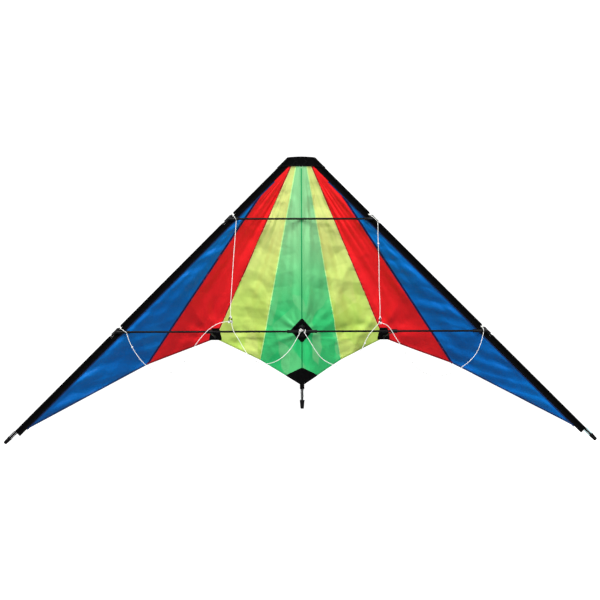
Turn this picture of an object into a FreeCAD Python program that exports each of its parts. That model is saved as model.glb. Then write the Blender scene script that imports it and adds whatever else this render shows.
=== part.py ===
import FreeCAD, Part
import math, os

# Dual-line delta kite hung nose up, flyer's side toward -Y, sail bellied toward +Y.
# Origin: top middle of the nose webbing. +X to the viewer's right, +Z up. Millimetres.
os.makedirs("parts", exist_ok=True)
V = FreeCAD.Vector

# Driving sizes
half_span = 600.0            # centre plane to the outermost point of a wing tip
rod_r = 2.0                  # every frame rod but the standoffs
standoff_rod_r = 1.25
cord_r = 0.6                 # bridle cord
elastic_r = 0.9              # tension cord at tail and tips

# Leading edge: a 45 degree line that starts beside the nose
lead_x, lead_z = 25.6, -4.3
tip_end_r = 3.6              # rounded end of the tip cap
lead_len = (half_span - lead_x) * math.sqrt(2.0) - tip_end_r
sleeve_r = 3.0               # round part of the leading sleeve
sleeve_in = 11.5             # spar axis to the sail's edge
flange_t = 1.2
sleeve_end = 777.0           # along the spar from its top
ferrule_at, ferrule_len, ferrule_r = 590.0, 60.0, 2.6

# Depths of the stations along the kite
upper_z, lower_z = -126.5, -354.0
patch_z = -352.0
webbing_z = -24.0
sail_top_z = -18.0
keel_z = -463.0              # bottom corner of the sail
neck_z = keel_z - 7.0
tail_z = keel_z - 47.0
spread_y = -5.0              # spreader axes stand in front of the sail

# Spine
spine_y = 2.8
spine_sleeve_r = 2.8
strip_w = 3.8                # half width of the sail's middle strip
sail_gap = 0.2
sail_t = 0.4
patch_t = 0.6

# Fittings
vinyl_r = 3.2
collar_r, collar_len = 3.6, 18.0
lashing_r, lashing_len = 3.1, 4.0
upper_socket, lower_socket = 20.0, 29.0
hub_r, hub_len = 6.5, 24.0
hub_gap = 0.3
arm_len = 30.0
end_gap = 0.3

# Standoffs
clip_x, tip_x, tip_z = 187.0, 174.0, -365.0
clip_r, clip_len, clip_play = 4.0, 12.0, 0.1
tip_cap_r, tip_cap_len = 2.6, 12.0

# Sail corners in the front view (x, z)
notch = (tip_x, -367.0)
green_foot = (83.0, -411.0)
red_foot = (313.6, -420.0)
tip_inner_z = -548.0
blue_top_z = -76.5
green_head, lime_head = 10.6, 19.9

# Tow rings
ring_out, ring_in, ring_t = 5.5, 3.7, 2.2
rings = {"left": (V(-144.5, -10.0, -330.0), 50.0), "right": (V(157.5, -10.0, -333.0), 75.0)}


def save(shape, node):
    solids = shape.Solids
    if len(solids) != 1:
        raise ValueError(node + " has " + str(len(solids)) + " solids")
    solids[0].exportStep("parts/" + node + ".step")


def mirrored(shape):
    return shape.mirror(V(0, 0, 0), V(1, 0, 0))


def fuse(first, *others):
    for other in others:
        first = first.fuse(other)
    return first.removeSplitter()


# Place on the right leading edge: u down the spar, w in toward the sail, y back
dir_u = V(1, 0, -1).normalize()
dir_w = V(-1, 0, -1).normalize()
lead_top = V(lead_x, 0, lead_z)


def on_lead(u, w=0.0, y=0.0):
    return lead_top + dir_u * u + dir_w * w + V(0, y, 0)


def lead_rod(radius, u0, u1):
    return Part.makeCylinder(radius, u1 - u0, on_lead(u0), dir_u)


def lead_block(u0, u1, w0, w1, y0, y1):
    corners = [on_lead(u, w, y0) for u, w in ((u0, w0), (u1, w0), (u1, w1), (u0, w1), (u0, w0))]
    return Part.Face(Part.makePolygon(corners)).extrude(V(0, y1 - y0, 0))


def u_of(z):
    return (lead_z - z) * math.sqrt(2.0)


def x_of(z):
    return lead_x + lead_z - z


def prism(points, y0=-60.0, y1=160.0):
    corners = [V(x, y0, z) for x, z in points]
    return Part.Face(Part.makePolygon(corners + corners[:1])).extrude(V(0, y1 - y0, 0))


def rod_x(radius, x0, x1, z):
    return Part.makeCylinder(radius, x1 - x0, V(x0, spread_y, z), V(1, 0, 0))


def rod_z(radius, z0, z1, x=0.0, y=spine_y):
    return Part.makeCylinder(radius, z1 - z0, V(x, y, z0), V(0, 0, 1))


# Cord: straight runs joined by tangent arcs, each arc using 0.45 of its shorter run
def cord(points, radius):
    edges, start = [], points[0]
    for before, here, after in zip(points, points[1:], points[2:]):
        a, b = (before - here), (after - here)
        run = 0.45 * min(a.Length, b.Length)
        a.normalize()
        b.normalize()
        p, q = here + a * run, here + b * run
        half_turn = (math.pi - a.getAngle(b)) / 2.0
        arc_r = run / math.tan(half_turn)
        if arc_r < 3 * 2 * radius:
            print("tight bend, radius", round(arc_r, 2))
        mid_dir = (a + b).normalize()
        reach = arc_r / math.cos(half_turn) - arc_r
        edges += [Part.makeLine(start, p), Part.Arc(p, here + mid_dir * reach, q).toShape()]
        start = q
    edges.append(Part.makeLine(start, points[-1]))
    path = Part.Wire(edges)
    heading = (points[1] - points[0]).normalize()
    section = Part.Wire([Part.makeCircle(radius, points[0], heading)])
    tube = path.makePipeShell([section], True, False)
    print("cord", round(path.Length, 1), "mm, volume share",
          round(tube.Volume / (math.pi * radius ** 2 * path.Length), 3))
    return tube


# Sail half: straight rulings fan out from the nose. Across it, the belly is one quartic
# with evenly spaced poles, so it is a plain polynomial of the share of the way across.
belly = sail_top_z - notch[1]
belly_depth = 98.0
belly_poles = (0.0, 0.6, 1.98, 0.42, 0.0)
edge_x = strip_w + sail_gap


def sleeve_edge(z):
    return x_of(z) - sleeve_in * math.sqrt(2.0)


def sail_face():
    deep_z = tip_inner_z - 12.0

    def row(z):
        wide, depth = sleeve_edge(z) - edge_x, (sail_top_z - z) / belly * belly_depth
        return [V(edge_x + i / 4.0 * wide, p * depth, z) for i, p in enumerate(belly_poles)]

    surface = Part.BSplineSurface()
    surface.buildFromPolesMultsKnots([row(sail_top_z), row(deep_z)], [2, 2], [5, 5],
                                     [0.0, 1.0], [0.0, 1.0], False, False, 1, 4)
    return surface.toShape()


face = sail_face()
cloth = face.extrude(V(0, sail_t, 0))
lining = face.extrude(V(0, -patch_t, 0))
behind = face.extrude(V(0, 30, 0))


def front_strip(z0, z1):
    return Part.makeBox(2 * edge_x, patch_t, z1 - z0, V(-edge_x, -patch_t, z0))


def seam_x(head_x, foot, z):
    head = (head_x, sail_top_z)
    return head[0] + (foot[0] - head[0]) * (z - head[1]) / (foot[1] - head[1])


# Nose webbing: black tape folded over the rod ends, open at the bottom
tape = 1.5
outer_top, outer_low = on_lead(0, -rod_r - tape), on_lead(29, -rod_r - tape)
inner_top, inner_low = on_lead(0, -rod_r), on_lead(38, -rod_r)
outline = [(0, 0), (outer_top.x, outer_top.z), (outer_low.x, outer_low.z), (46.0, -24.8),
           (22.0, -23.4), (0, -19.5)]
outline += [(-x, z) for x, z in outline[-2:0:-1]]
hollow = [(0, -tape), (inner_top.x, inner_top.z), (inner_low.x, inner_low.z)]
hollow += [(-x, z) for x, z in hollow[:0:-1]]
webbing_prism = prism(outline, -rod_r - tape, spine_y + rod_r + tape)
webbing = webbing_prism.cut(prism(hollow, -rod_r, spine_y + rod_r))
save(webbing, "nose_webbing")

# Keel: spine, its cloth sleeve with the sail's middle strip, hub, patches and tail
spine_foot = tail_z + 12.0
spine = rod_z(rod_r, spine_foot, -tape)
save(spine, "spine_rod")

strip = Part.makeBox(2 * strip_w, sail_t, webbing_z - keel_z + 2, V(-strip_w, 0, keel_z - 2))
spine_tube = rod_z(spine_sleeve_r, keel_z - 2, webbing_z)
hub = rod_z(hub_r, lower_z - hub_len / 2, lower_z + hub_len / 2)
spine_sleeve = spine_tube.fuse(strip).cut(spine)
cutter = rod_z(hub_r, lower_z - hub_len / 2, lower_z + hub_len / 2)
bare = cutter.cut(rod_z(spine_sleeve_r, lower_z - hub_len, lower_z + hub_len))
save(spine_sleeve.cut(bare).removeSplitter(), "spine_sleeve")
save(hub.cut(spine_tube), "centre_tee_hub")

diamond_w, diamond_h = 23.3, 25.6
diamond = [(0, patch_z + diamond_h), (diamond_w, patch_z), (0, patch_z - diamond_h),
           (-diamond_w, patch_z)]
side = lining.common(prism(diamond))
middle = front_strip(patch_z - 30, patch_z + 30).common(prism(diamond))
patch_hole = rod_z(hub_r + hub_gap, lower_z - hub_len / 2 - 0.3, lower_z + hub_len / 2 + 0.3)
save(fuse(middle, side, mirrored(side)).cut(hub), "centre_patch")

tail_w, tail_top, tail_side = 31.5, keel_z + 36.5, keel_z + 21.0
hem_z = keel_z + (green_foot[1] - keel_z) * tail_w / green_foot[0]
tail_shape = [(0, tail_top), (tail_w, tail_side), (tail_w, hem_z), (0, keel_z)]
tail_shape += [(-x, z) for x, z in tail_shape[2:0:-1]]
side = lining.common(prism(tail_shape))
middle = front_strip(keel_z - 4, tail_top).common(prism(tail_shape))
neck = Part.makeBox(9.6, spine_sleeve_r * 2 + 2 * patch_t, keel_z + 1 - neck_z,
                    V(-4.8, -patch_t, neck_z))
tail_patch = fuse(middle, side, mirrored(side), neck).cut(spine_sleeve).cut(spine)
save(tail_patch.removeSplitter(), "tail_patch")

cap_top, cord_x = tail_z + 18.0, rod_r + elastic_r + 0.3
tail_route = [V(x, spine_y, z) for x, z in ((-cord_x, neck_z), (-cord_x, tail_z + 5),
                                            (cord_x, tail_z + 5), (cord_x, neck_z))]
tail_cord = cord(tail_route, elastic_r)
save(tail_cord, "tail_tension_cord")
tail_cap = Part.makeCone(3.4, 5.0, cap_top - tail_z, V(0, spine_y, tail_z), V(0, 0, 1))
save(tail_cap.cut(spine).cut(tail_cord), "spine_tail_cap")

# Right wing, copied by reflection for the left
wing = {}
split = ferrule_at
tip_cap_top = lead_len - 16.0
rod_foot = lead_len - 9.0
wing["upper_leading_spar"] = upper_spar = lead_rod(rod_r, 0, split)
wing["lower_leading_spar"] = lower_spar = lead_rod(rod_r, split, rod_foot)
spar = lead_rod(rod_r, 0, rod_foot)
ferrule = lead_rod(ferrule_r, split - ferrule_len / 2, split + ferrule_len / 2)
wing["leading_ferrule"] = ferrule.cut(spar)

sleeve = lead_rod(sleeve_r, 0, sleeve_end).fuse(
    lead_block(0, sleeve_end, 0, sleeve_in, -flange_t / 2, flange_t / 2))
for z in (upper_z, lower_z):
    at = u_of(z)
    sleeve = sleeve.cut(lead_block(at - 17, at + 15, -6, 5, -6, 6))
sleeve = sleeve.cut(spar).cut(ferrule).cut(webbing_prism)
wing["leading_edge_sleeve"] = max(sleeve.Solids, key=lambda s: s.Volume)

cord_w = rod_r + elastic_r + 0.3
tip_route = [on_lead(u, w) for u, w in ((sleeve_end, -cord_w), (lead_len - 3.5, -cord_w),
                                        (lead_len - 3.5, cord_w), (sleeve_end, cord_w))]
tip_cord = cord(tip_route, elastic_r)
wing["tip_tension_cord"] = tip_cord
tip_cap = Part.makeCone(4.6, tip_end_r, lead_len - tip_cap_top, on_lead(tip_cap_top), dir_u)
wing["tip_cap"] = tip_cap.cut(spar).cut(tip_cord)

for name, z, socket in (("upper", upper_z, upper_socket), ("lower", lower_z, lower_socket)):
    at, x = u_of(z), x_of(z)
    wing[name + "_lashing"] = lead_rod(lashing_r, at - 15, at - 15 + lashing_len).cut(spar)
    collar = lead_rod(collar_r, at - collar_len / 2, at + collar_len / 2)
    tube = rod_x(vinyl_r, x - socket, x + 1, z)
    if name == "lower":
        spreader_end = x - 2.0
        wing["lower_spreader"] = spreader = rod_x(rod_r, 4.0, spreader_end, z)
        wing["lower_connector"] = fuse(collar, tube).cut(spar).cut(spreader)
    else:
        right_collar, upper_tube, upper_end = collar.cut(spar), tube, x - 2.0

arm = rod_x(vinyl_r, end_gap, arm_len, lower_z)
arm = arm.cut(rod_z(hub_r + hub_gap, lower_z - 20, lower_z + 20)).cut(wing["lower_spreader"])
wing["tee_arm"] = arm

outer_edge = [(sleeve_edge(z), z) for z in (sail_top_z, blue_top_z, tip_inner_z)]
green = [(edge_x, sail_top_z), (green_head, sail_top_z), green_foot,
         (edge_x, keel_z + (green_foot[1] - keel_z) * edge_x / green_foot[0])]
lime = [(green_head, sail_top_z), (lime_head, sail_top_z), notch, green_foot]
red = [(lime_head, sail_top_z), outer_edge[0], outer_edge[1], red_foot, notch]
blue = [outer_edge[1], outer_edge[2], red_foot]
for name, shape in (("green", green), ("lime", lime), ("red", red), ("blue", blue)):
    wing[name + "_panel"] = cloth.common(prism(shape))
wing["green_panel"] = wing["green_panel"].cut(patch_hole)

foot_w, head_w, tall = 12.5, 8.0, 23.0
trapezoid = [(notch[0] - foot_w, notch[1]), (notch[0] - head_w, notch[1] + tall),
             (notch[0] + head_w, notch[1] + tall), (notch[0] + foot_w, notch[1])]
wing["trailing_edge_patch"] = lining.common(prism(trapezoid))

# Standoff: a clip on the spreader, a thin rod and a soft cap pressed into the patch
root, tip = V(clip_x, spread_y, lower_z), V(tip_x, belly_depth - 0.5, tip_z)
lean = (tip - root)
reach = lean.Length
lean.normalize()
thin_rod = Part.makeCylinder(standoff_rod_r, reach - 9.0, root + lean * 4.0, lean)
sock = Part.makeCylinder(2.4, 12.0, root + lean * 1.0, lean)
clip = fuse(rod_x(clip_r, clip_x - clip_len / 2, clip_x + clip_len / 2, lower_z), sock)
clip = clip.cut(rod_x(rod_r + clip_play, clip_x - 20, clip_x + 20, lower_z)).cut(thin_rod)
cap = Part.makeCylinder(tip_cap_r, tip_cap_len + 6, root + lean * (reach - tip_cap_len), lean)
cap = cap.cut(thin_rod).cut(behind).cut(lining)
cap = max(cap.Solids, key=lambda s: s.CenterOfMass.y * -1)
wing["standoff_clip"], wing["standoff_rod"], wing["standoff_tip_cap"] = clip, thin_rod, cap

for name, shape in wing.items():
    save(shape, "right_" + name)
    save(mirrored(shape), "left_" + name)

# Upper spreader: one rod across, seated in the left connector; the right end tube stops
# short of its collar so that either wing can fold
upper_rod = rod_x(rod_r, -upper_end, upper_end - 4.0, upper_z)
save(upper_rod, "upper_spreader")
left_connector = fuse(mirrored(right_collar), mirrored(upper_tube)).cut(mirrored(spar))
save(left_connector.cut(upper_rod), "left_upper_connector")
save(right_collar, "right_upper_connector")
end_tube = upper_tube.cut(lead_rod(collar_r + end_gap, 0, 400))
end_tube = max(end_tube.Solids, key=lambda s: s.Volume)
save(end_tube.cut(upper_rod), "upper_spreader_end")

# Bridles: a ring hung under each upper connector, an outer leg to the lower connector
# and an inner leg to the centre arm, slack and drooping in front of the sail
front_y = -11.0
drape = {
    "left": {
        "upper": [(-132, -129.9), (-135, -170), (-138.5, -215), (-141.5, -262), (-144, -300)],
        "outer": [(-163, -333.5), (-187, -347.5), (-208, -370), (-226, -397), (-244, -423),
                  (-268, -438.5), (-294, -433.5), (-318, -419), (-335, -397), (-349, -371)],
        "inner": [(-141, -350), (-129, -368), (-117, -390), (-103, -410), (-80, -420),
                  (-57, -417), (-38, -405), (-22, -388), (-12, -370)],
    },
    "right": {
        "upper": [(154.5, -133.5), (154.1, -172), (156.2, -216), (155.8, -262), (157.8, -302)],
        "outer": [(171, -340.5), (179.5, -350.5), (188, -366), (202, -387), (217, -411),
                  (236, -433), (262, -446), (291, -444), (320, -430), (345, -411),
                  (362, -384)],
        "inner": [(147, -347), (132, -364), (122, -388), (106, -411), (82, -425),
                  (58, -421), (37, -408), (23, -387), (13, -370)],
    },
}
for hand, sign in (("left", -1), ("right", 1)):
    centre, turn = rings[hand]
    flat = V(math.cos(math.radians(turn)), math.sin(math.radians(turn)) * sign * -1, 0)
    facing = flat.cross(V(0, 0, 1))
    ring = Part.makeCylinder(ring_out, ring_t, centre - facing * (ring_t / 2), facing)
    ring = ring.cut(Part.makeCylinder(ring_in, ring_t * 3, centre - facing * ring_t * 1.5, facing))
    save(ring, hand + "_tow_ring")

    def rim(angle, radius=ring_out - 0.3):
        a = math.radians(angle)
        return centre + flat * (radius * math.cos(a)) + V(0, 0, radius * math.sin(a))

    body = {name: wing[name] if sign > 0 else mirrored(wing[name])
            for name in ("lower_connector", "tee_arm")}
    lower_x = 353.0 if sign < 0 else 368.0
    top = [V(x, spread_y if i == 0 else front_y + 1.0, z)
           for i, (x, z) in enumerate(drape[hand]["upper"])]
    legs = {"upper": top + [rim(90)]}
    ends = {"outer": V(sign * lower_x, spread_y - 2.2, lower_z - 2.2),
            "inner": V(sign * 3.5, spread_y - 2.8, lower_z - 1.2)}
    starts = {"outer": rim(-90 + 42 * sign), "inner": rim(-90 - 42 * sign)}
    for leg in ("outer", "inner"):
        legs[leg] = [starts[leg]] + [V(x, front_y, z) for x, z in drape[hand][leg]] + [ends[leg]]
    for leg, route in legs.items():
        tube = cord(route, cord_r).cut(ring)
        if leg != "upper":
            tube = tube.cut(body["lower_connector" if leg == "outer" else "tee_arm"])
        save(max(tube.Solids, key=lambda s: s.Volume), hand + "_bridle_" + leg + "_leg")
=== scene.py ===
import bpy, bmesh, math
from mathutils import Vector, Matrix, noise


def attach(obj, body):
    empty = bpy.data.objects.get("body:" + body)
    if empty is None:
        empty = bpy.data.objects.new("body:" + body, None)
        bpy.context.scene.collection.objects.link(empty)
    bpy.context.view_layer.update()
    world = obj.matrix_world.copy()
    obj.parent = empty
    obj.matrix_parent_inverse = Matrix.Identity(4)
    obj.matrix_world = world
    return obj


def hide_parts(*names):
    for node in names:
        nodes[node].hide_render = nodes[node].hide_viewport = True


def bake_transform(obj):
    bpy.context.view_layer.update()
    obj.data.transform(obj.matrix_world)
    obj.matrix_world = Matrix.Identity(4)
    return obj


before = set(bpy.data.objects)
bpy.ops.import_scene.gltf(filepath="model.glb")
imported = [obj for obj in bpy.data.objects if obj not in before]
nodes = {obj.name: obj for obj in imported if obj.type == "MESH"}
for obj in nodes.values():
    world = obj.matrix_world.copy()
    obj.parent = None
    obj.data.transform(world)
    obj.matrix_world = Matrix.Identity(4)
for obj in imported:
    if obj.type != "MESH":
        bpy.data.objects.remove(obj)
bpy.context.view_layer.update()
scene = bpy.context.scene
sides = (("left", -1), ("right", 1))
print("frame loaded", len(nodes), "nodes")

# sizes shared by several pieces, in metres
kite = {
    "rod": 0.002, "leadX": 0.0256, "leadZ": -0.0043, "sleeveIn": 0.0115, "sleeveEnd": 0.777,
    "tipEnd": 0.0036, "halfSpan": 0.6, "upperZ": -0.1265, "lowerZ": -0.354, "spreadY": -0.005,
    "spineY": 0.0028, "edgeX": 0.004, "sailTop": -0.018, "webbingZ": -0.024, "keelZ": -0.463,
    "neckZ": -0.470, "tailZ": -0.510, "notch": (0.174, -0.367), "greenFoot": (0.083, -0.411),
    "redFoot": (0.3136, -0.420), "tipZ": -0.548, "blueTop": -0.0765, "greenHead": 0.0106,
    "limeHead": 0.0199, "bellyDepth": 0.098, "bellyPoles": (0.6, 1.98, 0.42), "cord": 0.0006,
    "elastic": 0.0009,
}
root2 = math.sqrt(2)
leadLength = (kite["halfSpan"] - kite["leadX"]) * root2 - kite["tipEnd"]


# The camera comes first, because the cords are laid out to what it sees.
def placed(name, data, body=None):
    obj = bpy.data.objects.new(name, data)
    scene.collection.objects.link(obj)
    if body:
        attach(obj, body)
    return obj


def buildCamera():
    view = {"place": (-0.2054, -4.1308, -0.3827), "aside": 0.0488, "up": 0.0223, "roll": 0.0041,
            "lens": 122.83, "sensor": 36.0}
    data = bpy.data.cameras.new("camera")
    data.sensor_width, data.lens = view["sensor"], view["lens"]
    data.clip_end = 60
    camera = placed("camera", data)
    camera.location = view["place"]
    turn = Matrix.Rotation(-view["aside"], 3, "Z")
    turn = turn @ Matrix.Rotation(math.radians(90) + view["up"], 3, "X")
    camera.rotation_euler = (turn @ Matrix.Rotation(-view["roll"], 3, "Z")).to_euler()
    scene.camera = camera
    scene.view_settings.view_transform = "Standard"


buildCamera()
print("camera set")


# Shader groups give masks, tones and heights, and the materials use them.
def newGroup(name, inputs, outputs):
    group = bpy.data.node_groups.new(name, "ShaderNodeTree")
    for label, kind, value in inputs:
        socket = group.interface.new_socket(label, in_out="INPUT", socket_type=kind)
        if value is not None:
            socket.default_value = value
    for label, kind in outputs:
        group.interface.new_socket(label, in_out="OUTPUT", socket_type=kind)
    return group, group.nodes.new("NodeGroupInput"), group.nodes.new("NodeGroupOutput")


def feed(tree, value, socket):  # a plain value, or another node's output
    if isinstance(value, bpy.types.NodeSocket):
        tree.links.new(value, socket)
    else:
        socket.default_value = value


def addNode(tree, kind, settings=None, **inputs):
    node = tree.nodes.new(kind)
    for key, value in (settings or {}).items():
        setattr(node, key, value)
    for label, value in inputs.items():
        feed(tree, value, node.inputs[label.replace("_", " ")])
    return node


def mathNode(tree, operation, *values):
    node = addNode(tree, "ShaderNodeMath", {"operation": operation})
    for value, socket in zip(values, node.inputs):
        feed(tree, value, socket)
    return node.outputs[0]


def splitVector(tree, start):
    return addNode(tree, "ShaderNodeSeparateXYZ", Vector=start.outputs["Vector"]).outputs


def buildWeave():  # over and under threads, at a pitch, along the two axes that face the viewer
    tree, start, end = newGroup(
        "threadWeave",
        [("Vector", "NodeSocketVector", None), ("Pitch", "NodeSocketFloat", 0.0006),
         ("Lean", "NodeSocketFloat", 0.0)],
        [("Height", "NodeSocketFloat"), ("Thread", "NodeSocketFloat")])
    split = splitVector(tree, start)
    turn = mathNode(tree, "DIVIDE", math.pi, start.outputs["Pitch"])
    leaned = mathNode(tree, "MULTIPLY", split["Z"], start.outputs["Lean"])
    across = mathNode(tree, "ADD", split["X"], leaned)
    sx = mathNode(tree, "SINE", mathNode(tree, "MULTIPLY", across, turn))
    sz = mathNode(tree, "SINE", mathNode(tree, "MULTIPLY", split["Z"], turn))
    warp = mathNode(tree, "MULTIPLY", sx, sz)
    height = mathNode(tree, "MULTIPLY_ADD", warp, 0.5, 0.5)
    tree.links.new(height, end.inputs["Height"])
    tree.links.new(mathNode(tree, "ABSOLUTE", warp), end.inputs["Thread"])
    return tree


def buildRipGrid():  # the thicker threads that stop a tear, in a grid
    tree, start, end = newGroup(
        "ripGrid",
        [("Vector", "NodeSocketVector", None), ("Step", "NodeSocketFloat", 0.005),
         ("Width", "NodeSocketFloat", 0.06)],
        [("Line", "NodeSocketFloat")])
    split = splitVector(tree, start)
    lines = []
    for axis in ("X", "Z"):
        share = mathNode(tree, "DIVIDE", split[axis], start.outputs["Step"])
        part = mathNode(tree, "FRACT", share)
        lines.append(mathNode(tree, "LESS_THAN", part, start.outputs["Width"]))
    tree.links.new(mathNode(tree, "MAXIMUM", *lines), end.inputs["Line"])
    return tree


def buildCloud():  # slow uneven tone, dust and handling
    tree, start, end = newGroup(
        "unevenTone",
        [("Vector", "NodeSocketVector", None), ("Scale", "NodeSocketFloat", 20.0),
         ("Low", "NodeSocketFloat", 0.0), ("High", "NodeSocketFloat", 1.0)],
        [("Value", "NodeSocketFloat")])
    cloud = addNode(tree, "ShaderNodeTexNoise", Vector=start.outputs["Vector"],
                    Scale=start.outputs["Scale"], Detail=4.0, Roughness=0.6)
    spread = addNode(tree, "ShaderNodeMapRange", Value=cloud.outputs[0], From_Min=0.3, From_Max=0.7,
                     To_Min=start.outputs["Low"], To_Max=start.outputs["High"])
    tree.links.new(spread.outputs[0], end.inputs["Value"])
    return tree


def buildPatches():  # painted sheen: flat plates of glossy cloth, each pulled another way, each painted with its own share of a lighter tone
    tree, start, end = newGroup(
        "sheenPatches",
        [("Vector", "NodeSocketVector", None), ("Scale", "NodeSocketFloat", 16.0),
         ("Wander", "NodeSocketFloat", 0.03), ("Stretch", "NodeSocketVector", (1.0, 1.0, 1.0))],
        [("Value", "NodeSocketFloat")])
    cloud = addNode(tree, "ShaderNodeTexNoise", Vector=start.outputs["Vector"], Scale=12.0)
    steps = (("SUBTRACT", cloud.outputs["Color"], (0.5, 0.5, 0.5)),
             ("MULTIPLY", None, start.outputs["Wander"]), ("ADD", None, start.outputs["Vector"]),
             ("MULTIPLY", None, start.outputs["Stretch"]))
    place = None
    for operation, a, b in steps:
        node = addNode(tree, "ShaderNodeVectorMath", {"operation": operation})
        feed(tree, a or place, node.inputs[0])
        feed(tree, b, node.inputs[1])
        place = node.outputs[0]
    cells = addNode(tree, "ShaderNodeTexVoronoi", {"feature": "SMOOTH_F1"}, Vector=place,
                    Scale=start.outputs["Scale"], Smoothness=0.12)
    split = tree.nodes.new("ShaderNodeSeparateColor")
    tree.links.new(cells.outputs["Color"], split.inputs[0])
    tree.links.new(mathNode(tree, "POWER", split.outputs[0], 1.6), end.inputs["Value"])
    return tree


def buildCrackle():  # crisp creases of thin cloth: thin ridges where a warped noise crosses zero
    tree, start, end = newGroup(
        "crispCreases",
        [("Vector", "NodeSocketVector", None), ("Scale", "NodeSocketFloat", 40.0),
         ("Stretch", "NodeSocketVector", (1.0, 1.0, 1.0))],
        [("Height", "NodeSocketFloat")])
    scaled = addNode(tree, "ShaderNodeVectorMath", {"operation": "MULTIPLY"})
    tree.links.new(start.outputs["Vector"], scaled.inputs[0])
    tree.links.new(start.outputs["Stretch"], scaled.inputs[1])
    cloud = addNode(tree, "ShaderNodeTexNoise", Vector=scaled.outputs[0], Scale=start.outputs["Scale"],
                    Detail=3.0, Distortion=0.8)
    centred = mathNode(tree, "SUBTRACT", cloud.outputs[0], 0.5)
    ridge = mathNode(tree, "POWER", mathNode(tree, "ABSOLUTE", centred), 0.6)
    tree.links.new(ridge, end.inputs["Height"])
    return tree


def buildBraid():  # a cord's crossing strands and a mask of the dips between them, for painted shade, on its own map: u round it, v along it in metres
    tree, start, end = newGroup(
        "cordBraid",
        [("Vector", "NodeSocketVector", None), ("Strands", "NodeSocketFloat", 4.0),
         ("Pitch", "NodeSocketFloat", 0.0024)],
        [("Height", "NodeSocketFloat"), ("GapShade", "NodeSocketFloat")])
    split = splitVector(tree, start)
    around = mathNode(tree, "MULTIPLY", split["X"], start.outputs["Strands"])
    along = mathNode(tree, "DIVIDE", split["Y"], start.outputs["Pitch"])
    waves = []
    for operation in ("ADD", "SUBTRACT"):
        turned = mathNode(tree, "MULTIPLY", mathNode(tree, operation, around, along), 2 * math.pi)
        waves.append(mathNode(tree, "ABSOLUTE", mathNode(tree, "SINE", turned)))
    height = mathNode(tree, "MINIMUM", *waves)
    tree.links.new(height, end.inputs["Height"])
    # painted shade: marks the dips between the strands
    shadedGap = mathNode(tree, "LESS_THAN", height, 0.18)
    tree.links.new(shadedGap, end.inputs["GapShade"])
    return tree


def buildFade():  # from 0 at the height Low to 1 at the height High, with an uneven edge
    tree, start, end = newGroup(
        "lengthwiseFade",
        [("Vector", "NodeSocketVector", None), ("Low", "NodeSocketFloat", -0.3),
         ("High", "NodeSocketFloat", -0.1), ("Wander", "NodeSocketFloat", 0.05)],
        [("Value", "NodeSocketFloat")])
    split = splitVector(tree, start)
    cloud = addNode(tree, "ShaderNodeTexNoise", Vector=start.outputs["Vector"], Scale=14.0)
    centred = mathNode(tree, "SUBTRACT", cloud.outputs[0], 0.5)
    moved = mathNode(tree, "MULTIPLY", centred, start.outputs["Wander"])
    spread = addNode(tree, "ShaderNodeMapRange", {"interpolation_type": "SMOOTHSTEP"},
                     Value=mathNode(tree, "ADD", split["Z"], moved),
                     From_Min=start.outputs["Low"], From_Max=start.outputs["High"])
    tree.links.new(spread.outputs[0], end.inputs["Value"])
    return tree


groups = {"fade": buildFade(), "weave": buildWeave(), "grid": buildRipGrid(), "cloud": buildCloud(),
          "patches": buildPatches(), "creases": buildCrackle(), "braid": buildBraid()}


def useGroup(tree, key, vector, **values):
    return addNode(tree, "ShaderNodeGroup", {"node_tree": groups[key]}, Vector=vector, **values)


def newMaterial(name, roughness=0.5, **fixed):
    material = bpy.data.materials.new(name)
    material.use_nodes = True
    tree = material.node_tree
    shader = tree.nodes["Principled BSDF"]
    shader.inputs["Roughness"].default_value = roughness
    for label, value in fixed.items():
        shader.inputs[label.replace("_", " ")].default_value = value
    where = tree.nodes.new("ShaderNodeTexCoord")
    return material, tree, shader, where


def mixColour(tree, factor, low, high):
    mix = tree.nodes.new("ShaderNodeMix")
    mix.data_type = "RGBA"
    tree.links.new(factor, mix.inputs[0])
    for index, value in ((6, low), (7, high)):
        if isinstance(value, tuple):
            mix.inputs[index].default_value = (*value, 1)
        else:
            tree.links.new(value, mix.inputs[index])
    return mix.outputs[2]


def addBump(tree, shader, layers):  # each layer is (height, metres)
    before = None
    for height, distance in layers:
        bump = addNode(tree, "ShaderNodeBump", Distance=distance, Strength=1.0, Height=height)
        if before is not None:
            tree.links.new(before, bump.inputs["Normal"])
        before = bump.outputs[0]
    tree.links.new(before, shader.inputs["Normal"])


def shade(colour, factor):
    return tuple(min(1.0, c * factor) for c in colour)


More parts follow.
